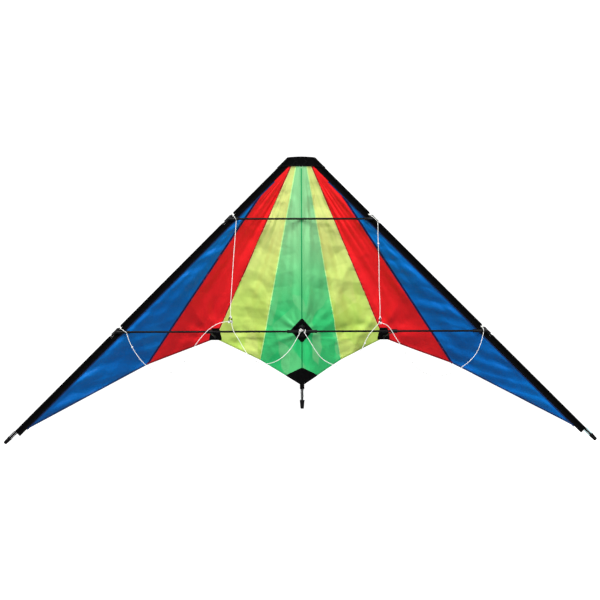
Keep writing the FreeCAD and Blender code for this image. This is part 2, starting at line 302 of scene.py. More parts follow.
def clothMaterial(name, colour, spec, upper=None):  # upper is the painted sheen tone: lighter, painted near the nose and in patches
    material, tree, shader, where = newMaterial(
        name, spec["roughness"], Specular_IOR_Level=spec["gloss"], Coat_Weight=spec["coat"],
        Coat_Roughness=0.2)
    place = where.outputs["Object"]
    tone = useGroup(tree, "cloud", place, Scale=9.0, Low=0.0, High=1.0)
    grid = useGroup(tree, "grid", place, Step=0.0052, Width=0.055)
    weave = useGroup(tree, "weave", place, Pitch=0.0005)
    creases = useGroup(tree, "creases", place, Scale=26.0, Stretch=(1.0, 1.0, 0.6))
    body = mixColour(tree, tone.outputs[0], shade(colour, spec["dark"]), shade(colour, spec["light"]))
    # painted sheen: towards the nose and in patches the colour goes lighter
    if upper:
        fade = useGroup(tree, "fade", place, Low=-0.36, High=-0.12)
        patches = useGroup(tree, "patches", place, Scale=21.0, Wander=0.03, Stretch=(1.0, 1.0, 0.7))
        share = mathNode(tree, "MULTIPLY", patches.outputs[0], spec["patch"])
        paintedSheenMask = mathNode(tree, "MAXIMUM", fade.outputs[0], share)
        body = mixColour(tree, paintedSheenMask, body, upper)
    lines = mathNode(tree, "MULTIPLY", grid.outputs["Line"], spec["gridTone"])
    tree.links.new(mixColour(tree, lines, body, shade(colour, 0.7)), shader.inputs["Base Color"])
    rough = useGroup(tree, "cloud", place, Scale=60.0, Low=spec["roughness"] - 0.06,
                     High=spec["roughness"] + 0.08)
    tree.links.new(rough.outputs[0], shader.inputs["Roughness"])
    addBump(tree, shader, [(creases.outputs[0], 0.0009), (grid.outputs["Line"], 0.00006),
                           (weave.outputs["Height"], 0.00003)])
    return material


def tapeMaterial(name, colour, pitch, depth, lean=0.0, roughness=0.8):
    material, tree, shader, where = newMaterial(name, roughness, Specular_IOR_Level=0.04)
    place = where.outputs["Object"]
    weave = useGroup(tree, "weave", place, Pitch=pitch, Lean=lean)
    tone = useGroup(tree, "cloud", place, Scale=45.0, Low=0.0, High=1.0)
    worn = mixColour(tree, tone.outputs[0], shade(colour, 0.7), shade(colour, 1.5))
    threads = mathNode(tree, "MULTIPLY", weave.outputs["Thread"], 0.5)
    tree.links.new(mixColour(tree, threads, worn, shade(colour, 0.5)), shader.inputs["Base Color"])
    rough = useGroup(tree, "cloud", place, Scale=120.0, Low=roughness - 0.1, High=roughness + 0.1)
    tree.links.new(rough.outputs[0], shader.inputs["Roughness"])
    folds = useGroup(tree, "cloud", place, Scale=70.0, Low=0.0, High=1.0)
    addBump(tree, shader, [(folds.outputs[0], 0.0005), (weave.outputs["Height"], depth)])
    return material


def smoothMaterial(name, colour, roughness, grain, stretch=(1, 1, 1), metallic=0.0, gloss=0.3):
    material, tree, shader, where = newMaterial(
        name, roughness, Metallic=metallic, Specular_IOR_Level=gloss)
    turn = tree.nodes.new("ShaderNodeMapping")
    turn.inputs["Scale"].default_value = stretch
    tree.links.new(where.outputs["Object"], turn.inputs["Vector"])
    place = turn.outputs[0]
    tone = useGroup(tree, "cloud", place, Scale=80.0, Low=0.0, High=1.0)
    tree.links.new(mixColour(tree, tone.outputs[0], shade(colour, 0.75), shade(colour, 1.35)),
                   shader.inputs["Base Color"])
    rough = useGroup(tree, "cloud", place, Scale=220.0, Low=roughness - 0.07, High=roughness + 0.1)
    tree.links.new(rough.outputs[0], shader.inputs["Roughness"])
    fine = useGroup(tree, "cloud", place, Scale=900.0, Low=0.0, High=1.0)
    addBump(tree, shader, [(fine.outputs[0], grain)])
    return material


def cordMaterial(name, colour, roughness, strands=4.0, pitch=0.0024, sheen=0.2, gloss=0.5):
    material, tree, shader, where = newMaterial(name, roughness, Sheen_Weight=sheen,
                                                Specular_IOR_Level=gloss)
    braid = useGroup(tree, "braid", where.outputs["UV"], Strands=strands, Pitch=pitch)
    tone = useGroup(tree, "cloud", where.outputs["Object"], Scale=60.0, Low=0.0, High=1.0)
    body = mixColour(tree, tone.outputs[0], shade(colour, 0.85), colour)
    # painted shade: the colour goes darker in the braid's dips
    paintedGapShade = mathNode(tree, "MULTIPLY", braid.outputs["GapShade"], 0.5)
    tree.links.new(mixColour(tree, paintedGapShade, body, shade(colour, 0.5)), shader.inputs["Base Color"])
    addBump(tree, shader, [(braid.outputs["Height"], 0.00008)])
    return material


# dark and light bound the random tone; patch is the share of painted sheen in the patches
clothFinish = {"roughness": 0.42, "gloss": 0.1, "coat": 0.05, "dark": 0.9, "light": 1.05,
               "gridTone": 0.08, "patch": 0.55}
colours = {"green": (0.022, 0.46, 0.135), "lime": (0.375, 0.555, 0.092), "red": (0.66, 0.010, 0.016),
           "blue": (0.0003, 0.115, 0.44)}
# the lighter colours painted as sheen near the nose and in patches
paintedSheenTone = {"green": (0.22, 0.54, 0.24), "lime": (0.56, 0.63, 0.19), "red": (0.84, 0.013, 0.016),
             "blue": (0.0006, 0.155, 0.52)}
cloth = {key: clothMaterial(key + "Cloth", value, clothFinish, paintedSheenTone[key])
         for key, value in colours.items()}
spineCloth = clothMaterial("spineCloth", shade(colours["green"], 0.9), clothFinish,
                           shade(paintedSheenTone["green"], 0.88))
# painted shadow: the dark green of the spine rod showing through the cloth
spineShadowPaint = clothMaterial("spineShadowPaint", shade(colours["green"], 0.4), clothFinish,
                          shade(colours["green"], 0.62))
greenThread = smoothMaterial("greenThread", (0.05, 0.33, 0.12), 0.65, 0.00002)
seamCloth = {
    "greenLime": clothMaterial("paleSeam", (0.42, 0.80, 0.25), clothFinish),
    "limeRed": clothMaterial("darkRedSeam", (0.20, 0.012, 0.004), clothFinish),
    "limeRedEdge": clothMaterial("creamSeam", (0.85, 0.62, 0.28), clothFinish),
    "redBlue": clothMaterial("navySeam", (0.012, 0.010, 0.06), clothFinish),
    "sleeveEdge": clothMaterial("navyEdge", (0.01, 0.03, 0.12), clothFinish),
}
hemTone = {"green": 0.85, "lime": 0.85, "red": 0.5, "blue": 0.45}
hemCloth = {key: clothMaterial(key + "Hem", shade(value, hemTone[key]), clothFinish)
            for key, value in colours.items()}
tape = tapeMaterial("blackTape", (0.0014, 0.0014, 0.0016), 0.0007, 0.00012, lean=1.0)
webbing = tapeMaterial("blackWebbing", (0.0014, 0.0014, 0.0016), 0.0016, 0.0003, roughness=0.85)
rodFinish = smoothMaterial("blackFibreglass", (0.0022, 0.0022, 0.0026), 0.42, 0.00003,
                           stretch=(0.05, 1, 1), gloss=0.1)
spineFinish = smoothMaterial("blackFibreglassUpright", (0.0022, 0.0022, 0.0026), 0.42, 0.00003,
                             stretch=(1, 1, 0.05), gloss=0.1)
vinyl = smoothMaterial("blackVinyl", (0.003, 0.003, 0.0035), 0.44, 0.00004, gloss=0.15)
ringMetal = smoothMaterial("darkRing", (0.04, 0.045, 0.04), 0.36, 0.00002, metallic=0.8)
aluminium = smoothMaterial("ferruleAluminium", (0.6, 0.6, 0.62), 0.35, 0.00002, metallic=1.0)
whiteCord = cordMaterial("whiteCord", (0.93, 0.93, 0.90), 0.7)
elasticTone = {"grey": (0.72, 0.76, 0.75), "teal": (0.22, 0.48, 0.50), "black": (0.003, 0.003, 0.003)}
elastic = {key: cordMaterial(key + "Elastic", tone, 0.7, strands=5.0, pitch=0.0016,
                             sheen=0.0 if key == "black" else 0.1,
                             gloss=0.06 if key == "black" else 0.4)
           for key, tone in elasticTone.items()}
blackThread = smoothMaterial("blackThread", (0.012, 0.012, 0.013), 0.6, 0.00002, gloss=0.1)
paleThread = smoothMaterial("paleThread", (0.6, 0.62, 0.45), 0.65, 0.00002)
darkThread = smoothMaterial("darkThread", (0.10, 0.02, 0.03), 0.65, 0.00002)
blueThread = smoothMaterial("blueThread", (0.02, 0.05, 0.20), 0.65, 0.00002)
print("materials made")


# Meshes from points, lathed profiles, tubes and joined parts.
def finalMesh(obj):  # the mesh as its modifiers or curve settings leave it
    bpy.context.view_layer.update()
    return bpy.data.meshes.new_from_object(obj.evaluated_get(bpy.context.evaluated_depsgraph_get()))


def addMesh(name, verts, faces, material, body=None, uvs=None, angle=50, merge=1e-6):
    mesh = bpy.data.meshes.new(name)
    mesh.from_pydata([tuple(v) for v in verts], [], faces)
    if uvs is not None:
        layer = mesh.uv_layers.new(name="map")
        for loop in mesh.loops:
            layer.data[loop.index].uv = uvs[loop.vertex_index]
    if merge:
        work = bmesh.new()
        work.from_mesh(mesh)
        bmesh.ops.remove_doubles(work, verts=work.verts, dist=merge)
        bmesh.ops.recalc_face_normals(work, faces=work.faces)
        work.to_mesh(mesh)
        work.free()
    mesh.shade_smooth()
    if angle:
        mesh.set_sharp_from_angle(angle=math.radians(angle))
    mesh.materials.append(material)
    return placed(name, mesh, body)


def stand(node):  # the piece takes the place of its CAD node
    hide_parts(node)


def ringFaces(rings, turns):  # walls between closed rings of points, and a cap at each end
    faces = []
    for i in range(rings - 1):
        for k in range(turns):
            n = (k + 1) % turns
            faces.append((i * turns + k, i * turns + n, (i + 1) * turns + n, (i + 1) * turns + k))
    faces.append(tuple(range(turns)))
    faces.append(tuple((rings - 1) * turns + k for k in range(turns)))
    return faces


def joined(name, parts, material):  # several meshes as one piece
    work = bmesh.new()
    for part in parts:
        work.from_mesh(part.data)
        bpy.data.objects.remove(part)
    mesh = bpy.data.meshes.new(name)
    work.to_mesh(mesh)
    work.free()
    mesh.materials.append(material)
    return placed(name, mesh)


def shell(name, front, back, material, body=None, angle=50):  # two grids of points and the walls
    rows, cols = len(front), len(front[0])
    verts = [p for row in front for p in row] + [p for row in back for p in row]
    shift = rows * cols
    faces = []
    for i in range(rows - 1):
        for j in range(cols - 1):
            a, b, c, d = (i * cols + j, i * cols + j + 1, (i + 1) * cols + j + 1, (i + 1) * cols + j)
            faces += [(a, b, c, d), (d + shift, c + shift, b + shift, a + shift)]
    rim = [j for j in range(cols)] + [i * cols + cols - 1 for i in range(1, rows)]
    rim += [(rows - 1) * cols + j for j in range(cols - 2, -1, -1)]
    rim += [i * cols for i in range(rows - 2, 0, -1)]
    for a, b in zip(rim, rim[1:] + rim[:1]):
        faces.append((b, a, a + shift, b + shift))
    return addMesh(name, verts, faces, material, body, angle=angle)


def turnFrame(axis):
    axis = Vector(axis).normalized()
    side = axis.cross(Vector((0, 0, 1)) if abs(axis.z) < 0.9 else Vector((1, 0, 0))).normalized()
    return axis, side, axis.cross(side)


def lathe(name, profile, origin, axis, material, body=None, turns=32, angle=40):
    axis, side, up = turnFrame(axis)
    origin = Vector(origin)
    verts = []
    for along, radius in profile:
        for k in range(turns):
            a = 2 * math.pi * k / turns
            verts.append(origin + axis * along + (side * math.cos(a) + up * math.sin(a)) * radius)
    return addMesh(name, verts, ringFaces(len(profile), turns), material, body, angle=angle)


def roundedBar(length, radius, edge, lip=0.0):  # a bar's profile with softened ends and lips
    points = [(0, radius - edge), (edge * 0.3, radius - edge * 0.3), (edge, radius)]
    if lip:
        points = [(0, radius - edge), (edge * 0.3, radius + lip - edge * 0.3), (edge, radius + lip),
                  (edge * 4, radius + lip), (edge * 5, radius)]
        points += [(length - a, r) for a, r in reversed(points)]
        return points
    return points + [(length - a, r) for a, r in reversed(points)]


def splineThrough(name, route, fine=10):  # the route's smooth line, read from a NURBS curve
    data = bpy.data.curves.new(name, "CURVE")
    data.dimensions = "3D"
    spline = data.splines.new("NURBS")
    spline.points.add(len(route) - 1)
    for point, place in zip(spline.points, route):
        point.co = (*place, 1)
    spline.order_u = 3
    spline.use_endpoint_u = True
    spline.resolution_u = fine
    obj = placed(name, data)
    mesh = finalMesh(obj)
    points = [v.co.copy() for v in mesh.vertices]
    bpy.data.objects.remove(obj)
    bpy.data.meshes.remove(mesh)
    return points


def evenly(points, step):
    lengths = [0.0]
    for a, b in zip(points, points[1:]):
        lengths.append(lengths[-1] + (b - a).length)
    count = max(2, int(lengths[-1] / step))
    result, k = [], 0
    for i in range(count + 1):
        want = lengths[-1] * i / count
        while k < len(points) - 2 and lengths[k + 1] < want:
            k += 1
        share = (want - lengths[k]) / max(lengths[k + 1] - lengths[k], 1e-9)
        result.append(points[k].lerp(points[k + 1], min(max(share, 0), 1)))
    return result


def tube(name, points, radius, material, body=None, around=10, step=0.0006, braid=0.06,
         pitch=0.0024):
    line = evenly(points, step)
    heading = (line[1] - line[0]).normalized()
    _, side, _ = turnFrame(heading)
    verts, faces, uvs = [], [], []
    for i, place in enumerate(line):
        ahead = line[min(i + 1, len(line) - 1)] - line[max(i - 1, 0)]
        ahead.normalize()
        side = (side - ahead * side.dot(ahead)).normalized()
        up = ahead.cross(side)
        along = i * step
        for k in range(around + 1):
            a = 2 * math.pi * k / around
            wave = math.sin(2 * a + math.pi * along / pitch) * math.sin(2 * a - math.pi * along / pitch)
            r = radius * (1 + braid * wave)
            verts.append(place + (side * math.cos(a) + up * math.sin(a)) * r)
            uvs.append((k / around, along))
    ring = around + 1
    for i in range(len(line) - 1):
        for k in range(around):
            faces.append((i * ring + k, i * ring + k + 1, (i + 1) * ring + k + 1, (i + 1) * ring + k))
    for base, place, back in ((0, line[0], True), ((len(line) - 1) * ring, line[-1], False)):
        verts.append(place)
        uvs.append((0.5, 0))
        centre = len(verts) - 1
        for k in range(around):
            faces.append((centre, base + k + 1, base + k) if back else (centre, base + k, base + k + 1))
    return addMesh(name, verts, [f[::-1] for f in faces], material, body, uvs, angle=None, merge=1e-7)


# The bridle and the tension cords.
bridle = {
    "left": {
        "ring": (-0.1445, -0.010, -0.330), "turn": 50.0, "lower": 0.353,
        "upper": [(-0.132, -0.1299), (-0.135, -0.170), (-0.1385, -0.215), (-0.1415, -0.262),
                  (-0.144, -0.300)],
        "outer": [(-0.163, -0.3335), (-0.187, -0.3475), (-0.208, -0.370), (-0.226, -0.397),
                  (-0.244, -0.423), (-0.268, -0.4385), (-0.294, -0.4335), (-0.318, -0.419),
                  (-0.335, -0.397), (-0.349, -0.371)],
        "inner": [(-0.141, -0.350), (-0.129, -0.368), (-0.117, -0.390), (-0.103, -0.410),
                  (-0.080, -0.420), (-0.057, -0.417), (-0.038, -0.405), (-0.022, -0.388),
                  (-0.012, -0.370)],
    },
    "right": {
        "ring": (0.1575, -0.010, -0.333), "turn": 75.0, "lower": 0.368,
        "upper": [(0.1545, -0.1335), (0.1541, -0.172), (0.1562, -0.216), (0.1558, -0.262),
                  (0.1578, -0.302)],
        "outer": [(0.171, -0.3405), (0.1795, -0.3505), (0.188, -0.366), (0.202, -0.387),
                  (0.217, -0.411), (0.236, -0.433), (0.262, -0.446), (0.291, -0.444),
                  (0.320, -0.430), (0.345, -0.411), (0.362, -0.384)],
        "inner": [(0.147, -0.347), (0.132, -0.364), (0.122, -0.388), (0.106, -0.411),
                  (0.082, -0.425), (0.058, -0.421), (0.037, -0.408), (0.023, -0.387),
                  (0.013, -0.370)],
    },
}
ringSize = {"out": 0.0055, "in": 0.0037, "thick": 0.0022, "legTurn": 42, "set": 0.0003}
drapeY = -0.011


def ringAxes(side, sign):
    turn = math.radians(bridle[side]["turn"])
    flat = Vector((math.cos(turn), -sign * math.sin(turn), 0))
    return Vector(bridle[side]["ring"]), flat, flat.cross(Vector((0, 0, 1)))


def onRim(side, sign, angle, radius):
    centre, flat, _ = ringAxes(side, sign)
    a = math.radians(angle)
    return centre + flat * (radius * math.cos(a)) + Vector((0, 0, radius * math.sin(a)))


def buildBridle(side, sign):
    spec, rim = bridle[side], ringSize["out"] - ringSize["set"]
    lowY, lowZ = kite["spreadY"], kite["lowerZ"]
    ends = {"outer": Vector((sign * spec["lower"], lowY - 0.0022, lowZ - 0.0022)),
            "inner": Vector((sign * 0.0035, lowY - 0.0028, lowZ - 0.0012))}
    upper = [Vector((x, kite["spreadY"] if i == 0 else drapeY + 0.001, z))
             for i, (x, z) in enumerate(spec["upper"])] + [onRim(side, sign, 90, rim)]
    routes = {
        "upper": upper,
        "outer": [onRim(side, sign, -90 + ringSize["legTurn"] * sign, rim)]
                 + [Vector((x, drapeY, z)) for x, z in spec["outer"]] + [ends["outer"]],
        "inner": [onRim(side, sign, -90 - ringSize["legTurn"] * sign, rim)]
                 + [Vector((x, drapeY, z)) for x, z in spec["inner"]] + [ends["inner"]],
    }
    lines = {}
    for leg, route in routes.items():
        node = side + "_bridle_" + leg + "_leg"
        line = splineThrough(node + "_line", route)
        if leg != "upper":
            line.reverse()
        lines[leg] = line
        body = side + "_bridle" if leg == "upper" else None
        obj = tube(node + "_cord", line, kite["cord"], whiteCord, body)
        length = sum((b - a).length for a, b in zip(line, line[1:]))
        stand(node)
        if leg != "upper":  # from the frame, on the wing, to the ring, which swings
            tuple(line[0])
            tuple(line[-1])
            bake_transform(obj)
        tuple(line[0])
    return lines


bridleLines = {side: buildBridle(side, sign) for side, sign in sides}


def onLead(sign, u, w=0.0, y=0.0):
    s = 1 / root2
    return Vector((sign * (kite["leadX"] + s * u - s * w), y, kite["leadZ"] - s * u - s * w))


def leadU(z):
    return (kite["leadZ"] - z) * root2


def buildTensionCords():
    off = kite["rod"] + kite["elastic"] + 0.0003
    y = kite["spineY"]
    foot = kite["tailZ"] + 0.005
    tight = 12 * kite["elastic"]  # the runs stay straight to here, then turn round the rod's end
    runs = {"tail_tension_cord": ("keel", elastic["grey"], [
        Vector((-off, y, kite["neckZ"])), Vector((-off, y, foot + tight)), Vector((-off, y, foot)),
        Vector((off, y, foot)), Vector((off, y, foot + tight)), Vector((off, y, kite["neckZ"]))])}
    for side, sign in sides:
        foot = leadLength - 0.0035
        runs[side + "_tip_tension_cord"] = (side + "_wing", elastic["teal" if sign > 0 else "black"], [
            onLead(sign, kite["sleeveEnd"], -off), onLead(sign, foot - tight, -off),
            onLead(sign, foot, -off), onLead(sign, foot, off), onLead(sign, foot - tight, off),
            onLead(sign, kite["sleeveEnd"], off)])
    for node, (body, material, route) in runs.items():
        line = splineThrough(node + "_line", route, fine=16)
        obj = tube(node + "_elastic", line, kite["elastic"], material, body, around=12, pitch=0.0016)
        length = sum((b - a).length for a, b in zip(line, line[1:]))
        stand(node)
        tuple(line[0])


buildTensionCords()
print("cords made")


# The sail's surface, which everything sewn to it follows.
def smooth(t):
    t = min(max(t, 0.0), 1.0)
    return t * t * (3 - 2 * t)


def sleeveEdge(z):
    return kite["leadX"] + kite["leadZ"] - z - kite["sleeveIn"] * root2


def shareAcross(x, z):
    width = max(sleeveEdge(z) - kite["edgeX"], 1e-5)
    return (abs(x) - kite["edgeX"]) / width, width


def sailY(x, z):
    v, _ = shareAcross(x, z)
    v = min(max(v, 0.0), 1.0)
    a, b, c = kite["bellyPoles"]
    shape = 4 * v * (1 - v) ** 3 * a + 6 * v * v * (1 - v) ** 2 * b + 4 * v ** 3 * (1 - v) * c
    down = max(kite["sailTop"] - z, 0.0) / (kite["sailTop"] - kite["notch"][1])
    return down * kite["bellyDepth"] * shape


def redSeamX(z):  # the red and blue panels' seam runs from the sleeve to the trailing edge
    head, foot = kite["blueTop"], kite["redFoot"]
    share = (z - head) / (foot[1] - head)
    return sleeveEdge(head) + (foot[0] - sleeveEdge(head)) * share


def seamX(head, foot, z):
    return head + (foot[0] - head) * (z - kite["sailTop"]) / (foot[1] - kite["sailTop"])


folds = {"long": 0.0036, "star": 0.0085, "notch": 0.0070, "streak": 0.0085, "crumple": 0.0018,
         "pucker": 0.0003, "facet": 0.075}
crumpleShare = {"green": 0.7, "lime": 1.0, "red": 0.5, "blue": 0.8}
facetShare = {"green": 0.8, "lime": 1.15, "red": 0.35, "blue": 0.45}
facetSizes = (0.085, 0.052, 0.110, 0.038, 0.066)  # metres from crease to crease


def panelAt(x, z):
    if x < seamX(kite["greenHead"], kite["greenFoot"], z):
        return "green"
    if x < seamX(kite["limeHead"], kite["notch"], z):
        return "lime"
    return "red" if x < redSeamX(z) else "blue"


def raysFrom(x, z, place, spread, count, seed):  # folds that fan out from a point that pulls
    reach = math.hypot(x - place[0], z - place[1])
    angle = math.atan2(z - place[1], x - place[0])
    ray = noise.noise(Vector((angle * count + seed, reach * 14, seed)))
    return ray * smooth(reach / (spread * 0.5)) * math.exp(-(reach / spread) ** 2)


def facets(x, z, seed):  # flat plates between crisp creases, each fold fading in and out
    total = 0.0
    for k, size in enumerate(facetSizes):
        turn = seed * 1.7 + k * 1.13
        bend = noise.noise(Vector((x * 9, z * 9, k + seed)))
        place = (x * math.cos(turn) + z * math.sin(turn)) / size + seed * 0.37 * k + 0.5 * bend
        wave = abs(place - math.floor(place) - 0.5) * 2 - 0.5
        fade = smooth(0.45 + 2.2 * noise.noise(Vector((x * 13 + k * 3.1, z * 13, seed))))
        total += wave * size * fade
    return total


def ripple(x, z):  # wrinkles of thin crisp cloth, calm where it is sewn to tape or rods
    seed = 11.3 if x > 0 else -4.7
    x = abs(x)
    v, width = shareAcross(x, z)
    if v <= 0 or v >= 1:
        return 0.0
    calm = smooth(v * width / 0.014) * smooth((1 - v) * width / 0.016)
    calm *= smooth((kite["sailTop"] - z) / 0.07)
    calm *= smooth((math.dist((x, z), kite["notch"]) - 0.024) / 0.02)
    part = panelAt(x, z)
    total = folds["long"] * noise.noise(Vector((v * 17 + seed, z * 7, seed)))
    total += folds["star"] * raysFrom(x, z, (0, kite["lowerZ"]), 0.085, 3.4, seed)
    total += folds["notch"] * raysFrom(x, z, kite["notch"], 0.10, 3.0, seed + 5)
    outside = smooth((x - redSeamX(z) + 0.012) / 0.03)
    total += folds["streak"] * outside * noise.noise(Vector((x * 9 + seed, (z + x * 0.3) * 52, 7.1)))
    bend = noise.noise(Vector((x * 20 + seed, z * 20, 2.2))) * 1.4
    fine = noise.noise(Vector((x * 58 + seed + bend, z * 66 - x * 12, 5.7)))
    total += folds["facet"] * facetShare[part] * facets(x, z, seed)
    total += folds["crumple"] * crumpleShare[part] * (0.35 - abs(fine)) * (0.6 + abs(bend))
    for head, foot in ((kite["greenHead"], kite["greenFoot"]), (kite["limeHead"], kite["notch"])):
        near = abs(x - seamX(head, foot, z))
        total += folds["pucker"] * math.exp(-(near / 0.006) ** 2) * math.sin(z * 620 + seed)
    return total * calm


def onSail(sign, x, z, lift=0.0):
    return Vector((sign * x, sailY(x, z) + ripple(sign * x, z) + lift, z))


def linePoints(line, count):  # evenly spaced along a line of corners, (x, z)
    lengths = [0.0]
    for a, b in zip(line, line[1:]):
        lengths.append(lengths[-1] + math.dist(a, b))
    result, k = [], 0
    for i in range(count + 1):
        want = lengths[-1] * i / count
        while k < len(line) - 2 and lengths[k + 1] < want:
            k += 1
        t = (want - lengths[k]) / max(lengths[k + 1] - lengths[k], 1e-9)
        result.append((line[k][0] + (line[k + 1][0] - line[k][0]) * t,
                       line[k][1] + (line[k + 1][1] - line[k][1]) * t))
    return result


tuck = 0.0015  # how far the sail runs in under the sleeve
top, tipZ = kite["sailTop"], kite["tipZ"]
keelFoot = (kite["edgeX"] - 0.0005,
            kite["keelZ"]
            + (kite["greenFoot"][1] - kite["keelZ"]) * kite["edgeX"] / kite["greenFoot"][0])
greenSeam = [(kite["greenHead"], top), kite["greenFoot"]]
limeSeam = [(kite["limeHead"], top), kite["notch"]]
blueHead = (sleeveEdge(kite["blueTop"]), kite["blueTop"])
redSeam = [blueHead, kite["redFoot"]]
tipCorner = (sleeveEdge(tipZ), tipZ)
panels = {
    "green": ([(kite["edgeX"] - 0.0005, top), keelFoot], greenSeam),
    "lime": (greenSeam, limeSeam),
    "red": (limeSeam, [(sleeveEdge(top) + tuck, top), (blueHead[0] + tuck, blueHead[1]),
                       kite["redFoot"]]),
    "blue": (redSeam, [(blueHead[0] + tuck, blueHead[1]), (tipCorner[0] + tuck, tipCorner[1])]),
}
sailCloth = {"step": 0.0024, "thick": 0.0003, "ease": 1.06}


def buildPanel(side, sign, key):
    inner, outer = panels[key]
    step = sailCloth["step"] * 1
    length = max(math.dist(inner[0], inner[-1]), math.dist(outer[0], outer[-1]))
    rows = int(length / step)
    width = max(math.dist(a, b) for a, b in zip(linePoints(inner, 8), linePoints(outer, 8)))
    cols = int(width / step)
    front, back = [], []
    for a, b in zip(linePoints(inner, rows), linePoints(outer, rows)):
        line = [(a[0] + (b[0] - a[0]) * j / cols, a[1] + (b[1] - a[1]) * j / cols)
                for j in range(cols + 1)]
        front.append([onSail(sign, x, z) for x, z in line])
        back.append([onSail(sign, x, z, sailCloth["thick"]) for x, z in line])
    obj = shell(side + "_" + key + "_cloth", front, back, cloth[key], side + "_wing", angle=70)
    stand(side + "_" + key + "_panel")
    return obj


for side, sign in sides:
    for key in panels:
        buildPanel(side, sign, key)
print("sail panels made")


def sidePoints(line, step):  # even points of a line, each with the line's sideways direction
    count = max(2, int(sum(math.dist(a, b) for a, b in zip(line, line[1:])) / step))
    points = linePoints(line, count)
    result = []
    for i, (x, z) in enumerate(points):
        before, after = points[max(i - 1, 0)], points[min(i + 1, count)]
        dx, dz = after[0] - before[0], after[1] - before[1]
        norm = math.hypot(dx, dz)
        result.append((x, z, -dz / norm, dx / norm))
    return result


def ribbon(name, sign, line, width, lift, thick, material, body, shift=0.0, across=4, step=0.003):
    # a flat band that follows the sail: line is (x, z), shift moves it sideways
    front, back = [], []
    for x, z, nx, nz in sidePoints(line, step):
        row = []
        for j in range(across + 1):
            off = shift + width * (j / across - 0.5)
            row.append((x + nx * off, z + nz * off))
        edge = [0.35 if j in (0, across) else 1.0 for j in range(across + 1)]
        front.append([onSail(sign, px, pz, -lift - thick * e) for (px, pz), e in zip(row, edge)])
        back.append([onSail(sign, px, pz, -lift + 0.00005) for px, pz in row])
    return shell(name, front, back, material, body)


seams = {"wide": 0.0038, "edge": 0.0009, "thick": 0.0003}
seamPlan = {
    "green_lime": (greenSeam, [("greenLime", seams["wide"] * 0.5, 0.0)]),
    "lime_red": (limeSeam, [("limeRed", seams["wide"] * 0.45, -0.0004),
                            ("limeRedEdge", seams["edge"], 0.0010)]),
    "red_blue": (redSeam, [("redBlue", seams["wide"], 0.0)]),
}
for side, sign in sides:
    for name, (line, bands) in seamPlan.items():
        for key, width, shift in bands:
            for face, lift in (("front", 0.0), ("back", -sailCloth["thick"] - seams["thick"])):
                piece = ribbon(side + "_" + name + "_" + key + "_" + face, sign, line, width, lift,
                               seams["thick"], seamCloth[key], side + "_wing", shift=-shift)
print("seams made")

hemPlan = {"green": (keelFoot, kite["greenFoot"]), "lime": (kite["greenFoot"], kite["notch"]),
           "red": (kite["notch"], kite["redFoot"]), "blue": (kite["redFoot"], tipCorner)}
hem = {"wide": 0.0036, "proud": 0.00035, "rowAt": 0.72}
for side, sign in sides:
    for key, line in hemPlan.items():
        piece = ribbon(side + "_" + key + "_hem", sign, list(line), hem["wide"],
                       -sailCloth["thick"] - hem["proud"], sailCloth["thick"] + 2 * hem["proud"],
                       hemCloth[key], side + "_wing", shift=hem["wide"] * 0.42)
    edgeLine = [(sleeveEdge(-0.05), -0.05), (sleeveEdge(-0.2), -0.2), tipCorner]
    piece = ribbon(side + "_sleeve_side_fold", sign, edgeLine, 0.0022, 0.0, 0.0004,
                   seamCloth["sleeveEdge"], side + "_wing", shift=-0.0011)
print("hems made")


# Stitches, by geometry nodes.
def buildStitchTree():
    tree = bpy.data.node_groups.new("stitchRow", "GeometryNodeTree")
    face = tree.interface
    face.new_socket("Geometry", in_out="INPUT", socket_type="NodeSocketGeometry")
    for label, value in (("Pitch", 0.003), ("Stitch Length", 0.002), ("Thread Width", 0.0003)):
        face.new_socket(label, in_out="INPUT", socket_type="NodeSocketFloat").default_value = value
    face.new_socket("Seed", in_out="INPUT", socket_type="NodeSocketInt").default_value = 3
    face.new_socket("Thread", in_out="INPUT", socket_type="NodeSocketMaterial")
    face.new_socket("Geometry", in_out="OUTPUT", socket_type="NodeSocketGeometry")
    start, end = tree.nodes.new("NodeGroupInput").outputs, tree.nodes.new("NodeGroupOutput")
    curve = addNode(tree, "GeometryNodeMeshToCurve", Mesh=start["Geometry"])
    points = addNode(tree, "GeometryNodeCurveToPoints", {"mode": "LENGTH"}, Curve=curve.outputs["Curve"],
                     Length=start["Pitch"])
    ball = addNode(tree, "GeometryNodeMeshUVSphere", Segments=6, Rings=4, Radius=0.5)
    stretch = addNode(tree, "ShaderNodeCombineXYZ", X=start["Thread Width"], Y=start["Thread Width"],
                      Z=start["Stitch Length"])
    jitter = addNode(tree, "FunctionNodeRandomValue", {"data_type": "FLOAT"}, Seed=start["Seed"])
    jitter.inputs[2].default_value = 0.86
    jitter.inputs[3].default_value = 1.08
    size = addNode(tree, "ShaderNodeVectorMath", {"operation": "SCALE"}, Vector=stretch.outputs[0],
                   Scale=jitter.outputs[1])
    place = addNode(tree, "GeometryNodeInstanceOnPoints", Points=points.outputs["Points"],
                    Instance=ball.outputs["Mesh"], Rotation=points.outputs["Rotation"],
                    Scale=size.outputs[0])
    realize = addNode(tree, "GeometryNodeRealizeInstances", Geometry=place.outputs[0])
    paint = addNode(tree, "GeometryNodeSetMaterial", Geometry=realize.outputs[0], Material=start["Thread"])
    feed(tree, paint.outputs[0], end.inputs["Geometry"])
    return tree


stitchTree = buildStitchTree()
stitchSize = {"Pitch": 0.0032, "Stitch Length": 0.0023, "Thread Width": 0.00034, "Seed": 3}


